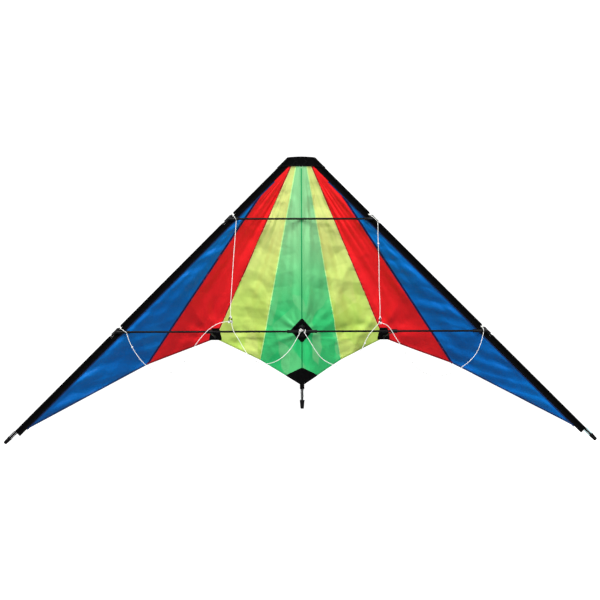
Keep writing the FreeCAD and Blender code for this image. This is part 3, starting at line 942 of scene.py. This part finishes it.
def stitch(name, rows, thread, body=None, **changes):
    verts, edges = [], []
    for row in rows:
        base = len(verts)
        verts += [tuple(p) for p in row]
        edges += [(base + i, base + i + 1) for i in range(len(row) - 1)]
    mesh = bpy.data.meshes.new(name + "_rows")
    mesh.from_pydata(verts, edges, [])
    guide = placed(name + "_rows", mesh)
    modifier = guide.modifiers.new("stitches", "NODES")
    modifier.node_group = stitchTree
    values = {**stitchSize, **changes}
    for item in stitchTree.interface.items_tree:
        if item.in_out != "INPUT" or item.socket_type == "NodeSocketGeometry":
            continue
        modifier[item.identifier] = thread if item.name == "Thread" else values[item.name]
    made = finalMesh(guide)
    bpy.data.objects.remove(guide)
    made.name = name
    if not made.materials:
        made.materials.append(thread)
    made.shade_smooth()
    return placed(name, made, body)


def sailRow(sign, line, shift, lift):
    return [onSail(sign, x + nx * shift, z + nz * shift, lift)
            for x, z, nx, nz in sidePoints(line, 0.004)]


threadClear = 0.00002
frontLift = -seams["thick"] - threadClear
backLift = sailCloth["thick"] + seams["thick"] + threadClear
for side, sign in sides:
    body = side + "_wing"
    for name, line, thread, offs in (
            ("green_lime", greenSeam, paleThread, (-0.0006, 0.0006)),
            ("lime_red", limeSeam, darkThread, (-0.0006, 0.0010)),
            ("red_blue", redSeam, blueThread, (-0.0013, 0.0013))):
        rows = [sailRow(sign, line, o, lift) for o in offs for lift in (frontLift, backLift)]
        stitch(side + "_" + name + "_stitches", rows, thread, body)
    rows = []
    for key, line in hemPlan.items():
        for lift in (-hem["proud"] - threadClear, sailCloth["thick"] + hem["proud"]):
            rows.append(sailRow(sign, list(line), hem["wide"] * hem["rowAt"], lift))
    stitch(side + "_hem_stitches", rows, darkThread, body)
print("sail stitches made")


# The leading-edge sleeve: tape folded round the spar and sewn to the sail.
sleeve = {"start": 0.010, "round": 0.0029, "half": 0.00052, "inner": 0.0115, "step": 0.0022,
          "crinkle": 0.00022, "gapBefore": 0.0165, "gapAfter": 0.0145, "rowsAt": (0.0104, 0.0086)}


def sleeveSection(flangeOnly):
    points = []
    if not flangeOnly:
        for k in range(15):
            a = math.radians(35 + (325 - 35) * k / 14)
            points.append((sleeve["round"] * math.cos(a), sleeve["round"] * math.sin(a)))
    start = 0.0022 if flangeOnly else 0.0040
    front = [(start + (sleeve["inner"] - start) * t, -sleeve["half"]) for t in (0, 0.35, 0.7, 0.93)]
    back = [(w, -y) for w, y in front]
    return back[::-1] + points + front + [(sleeve["inner"] + 0.0001, 0.0)] if not flangeOnly else (
        front + [(sleeve["inner"] + 0.0001, 0.0)] + back[::-1])


def sleevePart(name, sign, u0, u1, flangeOnly):
    section = sleeveSection(flangeOnly)
    count = max(2, int((u1 - u0) / sleeve["step"]))
    verts = []
    for i in range(count + 1):
        u = u0 + (u1 - u0) * i / count
        flare = 1 + 0.05 * (i in (0, count))
        for w, y in section:
            bend = noise.noise(Vector((u * 130, w * 260 + sign * 9, y * 300))) * sleeve["crinkle"]
            grow = 1 + bend / 0.003
            verts.append(onLead(sign, u, w * (grow if w < 0.003 else 1), y * grow * flare + bend * 0.6))
    return addMesh(name, verts, ringFaces(count + 1, len(section)), tape, angle=60)


def buildSleeve(side, sign):
    first = sleeve["start"]  # its end is tucked in under the nose webbing
    cuts = [(leadU(kite[k]) - sleeve["gapBefore"], leadU(kite[k]) + sleeve["gapAfter"])
            for k in ("upperZ", "lowerZ")]
    spans = [(first, cuts[0][0], False), (cuts[0][0], cuts[0][1], True),
             (cuts[0][1], cuts[1][0], False), (cuts[1][0], cuts[1][1], True),
             (cuts[1][1], kite["sleeveEnd"], False)]
    parts = [sleevePart(side + "_sleeve_part" + str(i), sign, *span) for i, span in enumerate(spans)]
    obj = joined(side + "_leading_tape", parts, tape)
    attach(obj, side + "_wing")
    stand(side + "_leading_edge_sleeve")
    rows = []
    for w in sleeve["rowsAt"]:
        for y in (-sleeve["half"] - 0.0001, sleeve["half"] + 0.0001):
            rows.append([onLead(sign, first + (kite["sleeveEnd"] - 0.002 - first) * i / 150, w, y)
                         for i in range(151)])
    for u0 in (cuts[0][0] - 0.002, cuts[0][1] + 0.002, cuts[1][0] - 0.002, cuts[1][1] + 0.002,
               kite["sleeveEnd"] - 0.003):
        rows.append([onLead(sign, u0, 0.0029 * math.cos(a), 0.0031 * math.sin(a))
                     for a in (math.radians(70 + 220 * k / 12) for k in range(13))])
    stitch(side + "_sleeve_stitches", rows, blackThread, side + "_wing")


for side, sign in sides:
    buildSleeve(side, sign)
print("sleeves made")


# Patches, nose webbing and spine sleeve.
def columnPatch(name, sign, xs, topOf, footOf, frontLift, backLift, material, body=None, rows=16):
    front, back = [], []
    for x in xs:
        z0, z1 = topOf(x), footOf(x)
        column = [z0 + (z1 - z0) * j / rows for j in range(rows + 1)]
        edge = [0.5 if j in (0, rows) or x in (xs[0], xs[-1]) else 1 for j in range(rows + 1)]
        front.append([onSail(sign, x, z, frontLift * e) for z, e in zip(column, edge)])
        back.append([onSail(sign, x, z, backLift) for z in column])
    return shell(name, front, back, material, body)


diamond = {"half": 0.0233, "tall": 0.0256, "z": -0.352}
tail = {"half": 0.0315, "top": -0.4265, "side": -0.442, "turn": -0.445}  # turn: a height that is read but not used


def diamondTop(x):
    return diamond["z"] + diamond["tall"] * (1 - abs(x) / diamond["half"])


def diamondFoot(x):
    return 2 * diamond["z"] - diamondTop(x)


def tailTop(x):
    return tail["top"] + (tail["side"] - tail["top"]) * abs(x) / tail["half"]


def tailFoot(x):
    return kite["keelZ"] + (kite["greenFoot"][1] - kite["keelZ"]) * abs(x) / kite["greenFoot"][0]


def buildKeelPatches():
    for side, sign in sides:
        xs = [diamond["half"] * i / 16 for i in range(17)]
        half = columnPatch(side + "_centre_diamond", sign, xs, diamondTop, diamondFoot, -0.0008,
                           -0.00005, tape)
        stand("centre_patch")
        edges = [(0.0005, diamond["z"] + diamond["tall"] - 0.003),
                 (diamond["half"] - 0.003, diamond["z"]),
                 (0.0005, diamond["z"] - diamond["tall"] + 0.003)]
        rows = [[onSail(sign, *p, -0.0009) for p in linePoints(edges, 24)]]
        seam = stitch(side + "_diamond_stitches", rows, blackThread)
        xs = [tail["half"] * i / 20 for i in range(21)]
        foot = columnPatch(side + "_tail_corner", sign, xs, tailTop, lambda x: tailFoot(x) - 0.0006,
                           -0.0009, 0.0011, tape)
        stand("tail_patch")
        edges = [(0.0005, tail["top"] - 0.0025), (tail["half"] - 0.004, tail["side"] - 0.0012)]
        low = [(0.0005, kite["keelZ"] + 0.003), (tail["half"] - 0.004, tailFoot(tail["half"]) + 0.002)]
        rows = [[onSail(sign, *p, -0.001) for p in linePoints(e, 14)] for e in (edges, low)]
        hemRow = stitch(side + "_tail_stitches", rows, blackThread)
        for piece, z in ((half, diamond["z"]), (seam, diamond["z"]), (foot, tail["turn"]),
                         (hemRow, tail["turn"])):
            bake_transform(piece)


buildKeelPatches()

neck = {"wide": 0.0046, "front": -0.0008, "back": 0.0064, "head": 0.0045, "pinch": 0.06}


def buildNeck():  # the patch drawn in round the spine's foot
    verts, count, turns = [], 8, 28
    middle = (neck["front"] + neck["back"]) / 2
    for i in range(count + 1):
        head = kite["keelZ"] + neck["head"]
        z = head - (head - kite["neckZ"]) * i / count
        pinch = 1 + neck["pinch"] * math.cos(i * 1.9)
        for k in range(turns):
            a = 2 * math.pi * k / turns
            c, s = math.cos(a), math.sin(a)
            verts.append((neck["wide"] * pinch * math.copysign(abs(c) ** 0.7, c),
                          middle + (neck["back"] - middle) * pinch * math.copysign(abs(s) ** 0.7, s), z))
    piece = addMesh("tail_neck", verts, ringFaces(count + 1, turns), tape, "keel")


buildNeck()

trapezoid = {"foot": 0.0128, "head": 0.008, "tall": 0.021, "drop": 0.0036}


def buildEdgePatch(side, sign):
    x0, z0 = kite["notch"]

    def topOf(x):
        off = abs(x - x0)
        if off <= trapezoid["head"]:
            return z0 + trapezoid["tall"]
        fall = (off - trapezoid["head"]) / (trapezoid["foot"] - trapezoid["head"])
        return z0 + trapezoid["tall"] * (1 - fall)

    xs = [x0 - trapezoid["foot"] + trapezoid["foot"] * i / 10 for i in range(21)]
    piece = columnPatch(side + "_edge_patch", sign, xs, topOf, lambda x: z0 - trapezoid["drop"],
                        -0.0009, 0.0012, tape, side + "_wing", rows=14)
    stand(side + "_trailing_edge_patch")
    foot, head = trapezoid["foot"] - 0.003, trapezoid["head"] - 0.002
    ring = [(x0 - foot, z0 + 0.002), (x0 - head, z0 + trapezoid["tall"] - 0.002),
            (x0 + head, z0 + trapezoid["tall"] - 0.002), (x0 + foot, z0 + 0.002),
            (x0 - foot, z0 + 0.002)]
    cross = [[ring[0], ring[2]], [ring[3], ring[1]]]
    rows = [[onSail(sign, *p, lift) for p in linePoints(line, 20)]
            for line in [ring] + cross for lift in (-0.001, 0.0013)]
    stitch(side + "_edge_patch_stitches", rows, blackThread, side + "_wing")


for side, sign in sides:
    buildEdgePatch(side, sign)

nose = {"rows": 26, "cols": 34, "clear": Vector((0, -0.0002, 0))}


def noseOutline(t):  # outer edge x at share t down the side
    top, low = onLead(1, 0, -kite["rod"] - 0.0016), onLead(1, 0.030, -kite["rod"] - 0.0016)
    return top.x + (low.x - top.x) * t, top.z + (low.z - top.z) * t


def buildNose(side, sign):
    front, back = [], []
    for i in range(nose["rows"] + 1):
        t = i / nose["rows"]
        edgeX, edgeZ = noseOutline(t)
        frontRow, backRow = [], []
        for j in range(nose["cols"] + 1):
            s = j / nose["cols"]
            x = edgeX * s
            z = edgeZ + (0.0018 * (1 - t) + 0.0036 * t) * (1 - s * s)
            rod = abs((x - kite["leadX"]) + (z - kite["leadZ"])) / root2  # from the spar's line
            ridge = math.exp(-(rod / 0.0035) ** 2)
            mid = math.exp(-(x / 0.004) ** 2)
            rim = smooth(min(1 - s, 0.12) / 0.12) * smooth(min(t, 0.1) / 0.1 + 0.02)
            wave = noise.noise(Vector((x * 160, z * 160, sign * 2))) * 0.0003
            dent = 0.0006 * math.exp(-((x - 0.013) / 0.0016) ** 2)
            yFront = -0.0012 - 0.0022 * max(ridge, 0.45) + dent + wave
            yBack = 0.0016 + 0.0044 * max(mid, 0.35 * ridge) + wave
            frontRow.append(Vector((sign * x, yFront * (0.45 + 0.55 * rim), z)))
            backRow.append(Vector((sign * x, yBack * (0.35 + 0.65 * rim), z)))
        front.append(frontRow)
        back.append(backRow)
    piece = shell(side + "_nose_webbing", front, back, webbing, angle=45)
    stand("nose_webbing")
    rows = []
    for inset in (0.06, 0.13):
        pick = int(nose["rows"] * (1 - inset))
        rows.append([p + nose["clear"] for p in front[pick]])
        rows.append([row[int(nose["cols"] * (1 - inset * 0.6))] + nose["clear"]
                     for row in front[2:pick + 1]])
    rows.append([p + nose["clear"] for p in front[3]])
    for a, b in ((0.12, 0.45), (0.45, 0.12)):
        low, high = int(nose["rows"] * 0.2), int(nose["rows"] * 0.8)
        rows.append([front[i][int(nose["cols"] * (a + (b - a) * (i - low) / (high - low)))]
                     + nose["clear"] for i in range(low, high + 1)])
    seam = stitch(side + "_nose_stitches", rows, blackThread, **{"Thread Width": 0.0005})
    for item in (piece, seam):
        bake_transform(item)


for side, sign in sides:
    buildNose(side, sign)
print("patches and webbing made")


def buildSpineSleeve():
    rows = int((kite["webbingZ"] - kite["keelZ"]) / 0.003)
    front, back, verts, turns = [], [], [], 20
    for i in range(rows + 1):
        z = kite["webbingZ"] + 0.004 + (kite["keelZ"] - kite["webbingZ"] + 0.001) * i / rows
        xs = [-0.0044 + 0.0088 * j / 10 for j in range(11)]
        wave = [noise.noise(Vector((x * 300, z * 90, 1.5))) * 0.00015 for x in xs]
        front.append([Vector((x, -0.0001 - 0.00025 * math.exp(-(x / 0.0022) ** 2) + w, z))
                      for x, w in zip(xs, wave)])
        back.append([Vector((x, 0.0003 + w, z)) for x, w in zip(xs, wave)])
        for k in range(turns):
            a = 2 * math.pi * k / turns
            r = 0.0027 + noise.noise(Vector((math.cos(a), math.sin(a), z * 120))) * 0.00012
            verts.append((r * math.cos(a), kite["spineY"] + r * math.sin(a), z))
    strip = shell("spine_strip", front, back, spineCloth)
    pocket = addMesh("spine_pocket", verts, ringFaces(rows + 1, turns), spineCloth)
    piece = joined("spine_cloth", [strip, pocket], spineCloth)
    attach(piece, "keel")
    stand("spine_sleeve")
    lines = [[Vector((x, y, kite["webbingZ"] + (kite["keelZ"] - kite["webbingZ"]) * i / 110))
              for i in range(111)] for x in (-0.0034, 0.0034) for y in (-0.0002, 0.0005)]
    stitch("spine_stitches", lines, greenThread, "keel")
    # The thin dark strips down the middle, above and below the diamond, are painted shadow of the spine
    # rod behind the cloth.
    bare = (diamond["z"] + diamond["tall"] - 0.002, diamond["z"] - diamond["tall"] + 0.002)
    spans = {"upper": (kite["webbingZ"], bare[0]), "lower": (bare[1], tail["top"] - 0.002)}
    for name, (high, low) in spans.items():
        count = int((high - low) / 0.004)
        front, back = [], []
        for i in range(count + 1):
            z = high + (low - high) * i / count
            front.append([Vector((x, -0.0006 if abs(x) < 0.0012 else -0.0003, z))
                          for x in (-0.0014, -0.0010, 0.0010, 0.0014)])
            back.append([Vector((v.x, 0.0001, z)) for v in front[-1]])
        shadowLine = shell("spine_painted_shadow_" + name, front, back, spineShadowPaint)
        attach(shadowLine, "keel")


buildSpineSleeve()
print("spine sleeve made")


# Vinyl fittings.
def mould(name, parts, material, body, voxel=0.00045):  # parts run together with soft fillets
    obj = joined(name, parts, material)
    remesh = obj.modifiers.new("fill", "REMESH")
    remesh.mode, remesh.voxel_size = "VOXEL", voxel
    soften = obj.modifiers.new("soften", "SMOOTH")
    soften.factor, soften.iterations = 0.5, 3
    made = finalMesh(obj)
    bpy.data.objects.remove(obj)
    made.name = name
    made.materials.clear()
    made.materials.append(material)
    made.shade_smooth()
    return placed(name, made, body)


fitting = {"collar": 0.0035, "collarLong": 0.018, "tube": 0.0031, "upperSocket": 0.020,
           "lowerSocket": 0.029, "lip": 0.00025, "arm": 0.030}


def buildConnector(side, sign, level):
    z = kite[level + "Z"]
    at, x = leadU(z), kite["leadX"] + kite["leadZ"] - z
    socket = fitting[level + "Socket"]
    axis = Vector((sign, 0, -1)).normalized()
    collar = lathe("collar", roundedBar(fitting["collarLong"], fitting["collar"], 0.0006, 0.0002),
                   onLead(sign, at - fitting["collarLong"] / 2), axis, vinyl)
    parts = [collar]
    straight = lathe("socket", roundedBar(socket + 0.001, fitting["tube"], 0.0005, fitting["lip"]),
                     (sign * (x - socket), kite["spreadY"], z), (sign, 0, 0), vinyl)
    node = side + "_" + level + "_connector"
    if level == "upper" and side == "right":
        mould(node + "_vinyl", parts, vinyl, side + "_wing")
        end = lathe("upper_end_vinyl", roundedBar(0.0168, fitting["tube"], 0.0005, fitting["lip"]),
                    (x - socket, kite["spreadY"], z), (1, 0, 0), vinyl, "left_wing")
        stand("upper_spreader_end")
        bpy.data.objects.remove(straight)
        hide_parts(node)
        return
    piece = mould(node + "_vinyl", parts + [straight], vinyl, side + "_wing")
    stand(node)


for side, sign in sides:
    for level in ("upper", "lower"):
        buildConnector(side, sign, level)


def buildTee():
    hub = lathe("tee_hub_vinyl", [(0, 0.0050), (0.0004, 0.0060), (0.0012, 0.0064), (0.004, 0.0064),
                                  (0.0046, 0.0058), (0.0194, 0.0058), (0.020, 0.0064), (0.0228, 0.0064),
                                  (0.0236, 0.0060), (0.024, 0.0050)],
                (0, kite["spineY"], kite["lowerZ"] - 0.012), (0, 0, 1), vinyl, "keel")
    stand("centre_tee_hub")
    for side, sign in sides:
        length = fitting["arm"] - 0.0055
        arm = lathe(side + "_arm_vinyl", [(0, 0.0020), (0.0002, 0.0026), (0.0012, 0.0031),
                                          (length - 0.0028, 0.0031), (length - 0.0022, 0.0034),
                                          (length - 0.0004, 0.0034), (length, 0.0028)],
                    (sign * 0.0055, kite["spreadY"], kite["lowerZ"]), (sign, 0, 0), vinyl)
        # the inner end is cut slanting so that it clears the hub
        stub = lathe(side + "_arm_stub", [(0, 0.0012), (0.0006, 0.0022), (0.0056, 0.0027)],
                     (sign * 0.0004, kite["spreadY"] - 0.0012, kite["lowerZ"]), (sign, 0.0, 0), vinyl)
        piece = joined(side + "_tee_arm_vinyl", [arm, stub], vinyl)
        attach(piece, side + "_wing")
        stand(side + "_tee_arm")


buildTee()

standoff = {"x": 0.187, "tip": (0.174, 0.0975, -0.365), "clip": 0.0038, "clipLong": 0.012,
            "capLong": 0.012}


def buildStandoff(side, sign):
    root = Vector((sign * standoff["x"], kite["spreadY"], kite["lowerZ"]))
    tx, ty, tz = standoff["tip"]
    tip = Vector((sign * tx, ty, tz))
    lean = (tip - root).normalized()
    reach = (tip - root).length
    body = side + "_standoff"
    barrel = lathe("barrel", roundedBar(standoff["clipLong"], standoff["clip"], 0.0005, 0.0002),
                   root - Vector((standoff["clipLong"] / 2, 0, 0)), (1, 0, 0), vinyl)
    boss = lathe("boss", [(0, 0.0024), (0.009, 0.0023), (0.0118, 0.0022), (0.0124, 0.0017)],
                 root + lean * 0.001, lean, vinyl)
    clip = mould(side + "_clip_vinyl", [barrel, boss], vinyl, body, voxel=0.0004)
    stand(side + "_standoff_clip")
    length = standoff["capLong"]
    cap = lathe(side + "_cap_vinyl", [(0, 0.0017), (0.0003, 0.0022), (0.001, 0.0024),
                                      (length - 0.004, 0.0025), (length - 0.0018, 0.0024),
                                      (length - 0.001, 0.0018), (length - 0.0005, 0.0008)],
                root + lean * (reach - length), lean, vinyl, body)
    stand(side + "_standoff_tip_cap")


for side, sign in sides:
    buildStandoff(side, sign)


def buildEndCaps():
    tailCap = lathe("tail_cap_vinyl", [(0, 0.0026), (0.0008, 0.0034), (0.004, 0.0038), (0.0145, 0.0047),
                                       (0.015, 0.0050), (0.0172, 0.0050), (0.018, 0.0044)],
                    (0, kite["spineY"], kite["tailZ"]), (0, 0, 1), vinyl, "keel")
    stand("spine_tail_cap")
    for side, sign in sides:
        top = leadLength - 0.016
        axis = Vector((sign, 0, -1)).normalized()
        cap = lathe(side + "_tip_cap_vinyl", [(0, 0.0040), (0.0005, 0.0046), (0.0026, 0.0046),
                                              (0.0030, 0.0043), (0.0136, 0.0038), (0.0154, 0.0031),
                                              (0.016, 0.0020)],
                    onLead(sign, top), axis, vinyl, side + "_wing")
        stand(side + "_tip_cap")


buildEndCaps()


def buildRing(side, sign):
    centre, _, facing = ringAxes(side, sign)
    half, edge = ringSize["thick"] / 2, 0.0005
    inner, outer = ringSize["in"], ringSize["out"]
    loop = [(-half, inner + edge), (-half + edge * 0.3, inner + edge * 0.3), (-half + edge, inner),
            (half - edge, inner), (half - edge * 0.3, inner + edge * 0.3), (half, inner + edge),
            (half, outer - edge), (half - edge * 0.3, outer - edge * 0.3), (half - edge, outer),
            (-half + edge, outer), (-half + edge * 0.3, outer - edge * 0.3), (-half, outer - edge)]
    axis, across, up = turnFrame(facing)
    verts, faces, turns, n = [], [], 48, len(loop)
    for k in range(turns):
        a = 2 * math.pi * k / turns
        way = across * math.cos(a) + up * math.sin(a)
        verts += [centre + axis * along + way * r for along, r in loop]
    for k in range(turns):
        for m in range(n):
            q = (k + 1) % turns
            faces.append((k * n + m, k * n + (m + 1) % n, q * n + (m + 1) % n, q * n + m))
    piece = addMesh(side + "_tow_ring_metal", verts, faces, ringMetal, side + "_bridle")
    stand(side + "_tow_ring")


for side, sign in sides:
    buildRing(side, sign)
print("fittings made")


# Knots, lashings and loops of the bridle.
def knot(name, centre, axis, size, body, radius=None):  # a pulled-tight overhand knot
    axis, across, up = turnFrame(axis)
    points = []
    for k in range(49):
        t = 2 * math.pi * k / 48
        x, y = math.sin(t) + 2 * math.sin(2 * t), math.cos(t) - 2 * math.cos(2 * t)
        points.append(Vector(centre) + (across * x + up * y - axis * math.sin(3 * t) * 1.4) * size / 3)
    return tube(name, points, radius or kite["cord"], whiteCord, body, around=8, step=0.0005, braid=0.04)


def wrap(name, centre, axis, radius, turns, pitch, body, cordRadius=None):
    axis, across, up = turnFrame(axis)
    points = []
    for k in range(int(turns * 20) + 1):
        a = 2 * math.pi * k / 20
        along = axis * (k / 20 - turns / 2) * pitch
        points.append(Vector(centre) + along + (across * math.cos(a) + up * math.sin(a)) * radius)
    return tube(name, points, cordRadius or kite["cord"], whiteCord, body, around=8, step=0.0006)


def buildBridleTies(side, sign):
    wing, hung = side + "_wing", side + "_bridle"
    lead = Vector((sign, 0, -1)).normalized()
    for level in ("upper", "lower"):
        at = leadU(kite[level + "Z"]) - 0.013
        tie = wrap(side + "_" + level + "_lashing_cord", onLead(sign, at), lead,
                   kite["rod"] + kite["cord"], 3.2, 0.00125, wing)
        stand(side + "_" + level + "_lashing")
        lump = knot(side + "_" + level + "_lashing_knot", onLead(sign, at, 0.0012, -0.0032), lead,
                    0.0016, wing)
        hang = bridleLines[side]["upper" if level == "upper" else "outer"][0]
        begin = onLead(sign, at + 0.0015, 0.001, -0.0030)
        over = begin.lerp(hang, 0.5) + Vector((0, -0.0052, 0.0010))
        near = begin.lerp(hang, 0.82) + Vector((0, -0.0046 if level == "lower" else -0.0040, 0.0012))
        route = [begin, begin.lerp(over, 0.55) + Vector((0, -0.0016, 0.0003)), over, near,
                 Vector((hang.x, hang.y - 0.0010, hang.z + 0.0006))]
        strand = tube(side + "_" + level + "_bridle_start", splineThrough("strand", route), kite["cord"],
                      whiteCord, wing, around=8)
    inner = bridleLines[side]["inner"][0]
    wrap(side + "_centre_loop", (sign * 0.0058, kite["spreadY"], kite["lowerZ"]), (1, 0, 0),
                 0.0037, 1.1, 0.0013, wing)
    if sign < 0:
        top = Vector((-0.0036, kite["spreadY"] - 0.0044, kite["lowerZ"] + 0.0012))
        lead = [inner, inner.lerp(top, 0.5) + Vector((0, -0.0008, 0)), top,
                top + Vector((0.0016, -0.0004, 0.0014)), top + Vector((0.0040, -0.0002, 0.0022)),
                top + Vector((0.0062, 0.0004, 0.0012))]
        tube("left_centre_strand", splineThrough("strand", lead), kite["cord"], whiteCord, wing,
                     around=8)
        knot("left_centre_knot", top + Vector((0.0008, -0.0010, 0.0010)), (0, -1, 0), 0.0032,
                     wing)
    low = ringSize["legTurn"] * sign
    for angle, label in ((90, "top"), (-90 + low, "outer"), (-90 - low, "inner")):
        hitch = onRim(side, sign, angle, (ringSize["out"] + ringSize["in"]) / 2)
        centre, _, facing = ringAxes(side, sign)
        out = (hitch - centre).normalized()
        round_ = out.cross(facing)
        bight = wrap(side + "_ring_hitch_" + label, hitch, round_, 0.00185, 2.1, 0.0013, hung)
        knot(side + "_ring_knot_" + label, hitch + out * 0.0029, facing, 0.0016, hung)
    beads = {"left": [("outer", 0.030)], "right": [("inner", 0.175)]}[side]
    for leg, back in beads:
        line = bridleLines[side][leg]
        place, run = line[0], 0.0
        for a, b in zip(line, line[1:]):
            run += (b - a).length
            if run > back:
                place = b
                way = (b - a).normalized()
                break
        piece = knot(side + "_" + leg + "_stopper", place, way, 0.0017, None)
        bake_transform(piece)
    if side == "right":
        line = bridleLines[side]["upper"]
        knot("right_upper_stopper", line[len(line) // 6], (0, 0, 1), 0.0017, hung)


for side, sign in sides:
    buildBridleTies(side, sign)
print("knots made")


# Finishes of the pieces that keep their own shape.
finishes = {"spreader": rodFinish, "leading_spar": rodFinish, "standoff_rod": rodFinish,
            "spine_rod": spineFinish, "ferrule": aluminium}
for name, obj in nodes.items():
    if obj.hide_render:
        continue
    for key, material in finishes.items():
        if key in name:
            obj.data.materials.clear()
            obj.data.materials.append(material)


# Stage and light.
def buildStage():
    room = {"floor": -0.72, "reach": 14.0, "corners": 48, "glow": 1.0}
    paint = bpy.data.materials.new("stagePaint")
    paint.use_nodes = True
    tree = paint.node_tree
    shader = tree.nodes["Principled BSDF"]
    shader.inputs["Base Color"].default_value = (0.22, 0.22, 0.22, 1)
    shader.inputs["Roughness"].default_value = 0.9
    shader.inputs["Emission Color"].default_value = (1, 1, 1, 1)
    seen = mathNode(tree, "MULTIPLY", tree.nodes.new("ShaderNodeLightPath").outputs["Is Camera Ray"],
                    room["glow"])
    tree.links.new(seen, shader.inputs["Emission Strength"])
    turns = [2 * math.pi * k / room["corners"] for k in range(room["corners"])]
    verts = [(room["reach"] * math.cos(a), room["reach"] * math.sin(a), room["floor"]) for a in turns]
    stage = addMesh("stage", verts, [tuple(range(room["corners"]))], paint, merge=None)


def buildWorld():  # white where it is looked at, and a soft light that comes mostly from above
    sky = {"above": 0.62, "level": 0.12, "seen": 1.15}
    world = bpy.data.worlds.new("softRoom")
    scene.world = world
    world.use_nodes = True
    tree = world.node_tree
    soft = tree.nodes["Background"]
    split = tree.nodes.new("ShaderNodeSeparateXYZ")
    tree.links.new(tree.nodes.new("ShaderNodeTexCoord").outputs["Generated"], split.inputs[0])
    ramp = tree.nodes.new("ShaderNodeMapRange")
    ramp.inputs["To Min"].default_value = sky["level"]
    ramp.inputs["To Max"].default_value = sky["above"]
    tree.links.new(split.outputs["Z"], ramp.inputs["Value"])
    tree.links.new(ramp.outputs[0], soft.inputs["Strength"])
    plain = tree.nodes.new("ShaderNodeBackground")
    plain.inputs["Strength"].default_value = sky["seen"]
    for node in (soft, plain):
        node.inputs["Color"].default_value = (1, 1, 1, 1)
    mix = tree.nodes.new("ShaderNodeMixShader")
    tree.links.new(tree.nodes.new("ShaderNodeLightPath").outputs["Is Camera Ray"], mix.inputs[0])
    tree.links.new(soft.outputs[0], mix.inputs[1])
    tree.links.new(plain.outputs[0], mix.inputs[2])
    tree.links.new(mix.outputs[0], tree.nodes["World Output"].inputs["Surface"])


def addLight(name, place, target, size, power):
    data = bpy.data.lights.new(name, "AREA")
    data.shape, data.size, data.energy = "SQUARE", size, power
    lamp = placed(name, data)
    lamp.visible_camera = False
    lamp.location = place
    lamp.rotation_euler = (Vector(target) - Vector(place)).to_track_quat("-Z", "Y").to_euler()


buildStage()
buildWorld()
lamps = {"key": ((-0.9, -3.3, 3.0), 2.6, 300), "fill": ((2.6, -3.6, 0.6), 2.0, 60),
         "rear": ((2.0, 3.4, 2.2), 1.6, 190), "rearFill": ((-2.8, 3.0, 0.3), 2.0, 60)}
for name, (place, size, power) in lamps.items():
    addLight(name + "Light", place, (0, 0, -0.3), size, power)
print("stage lit")
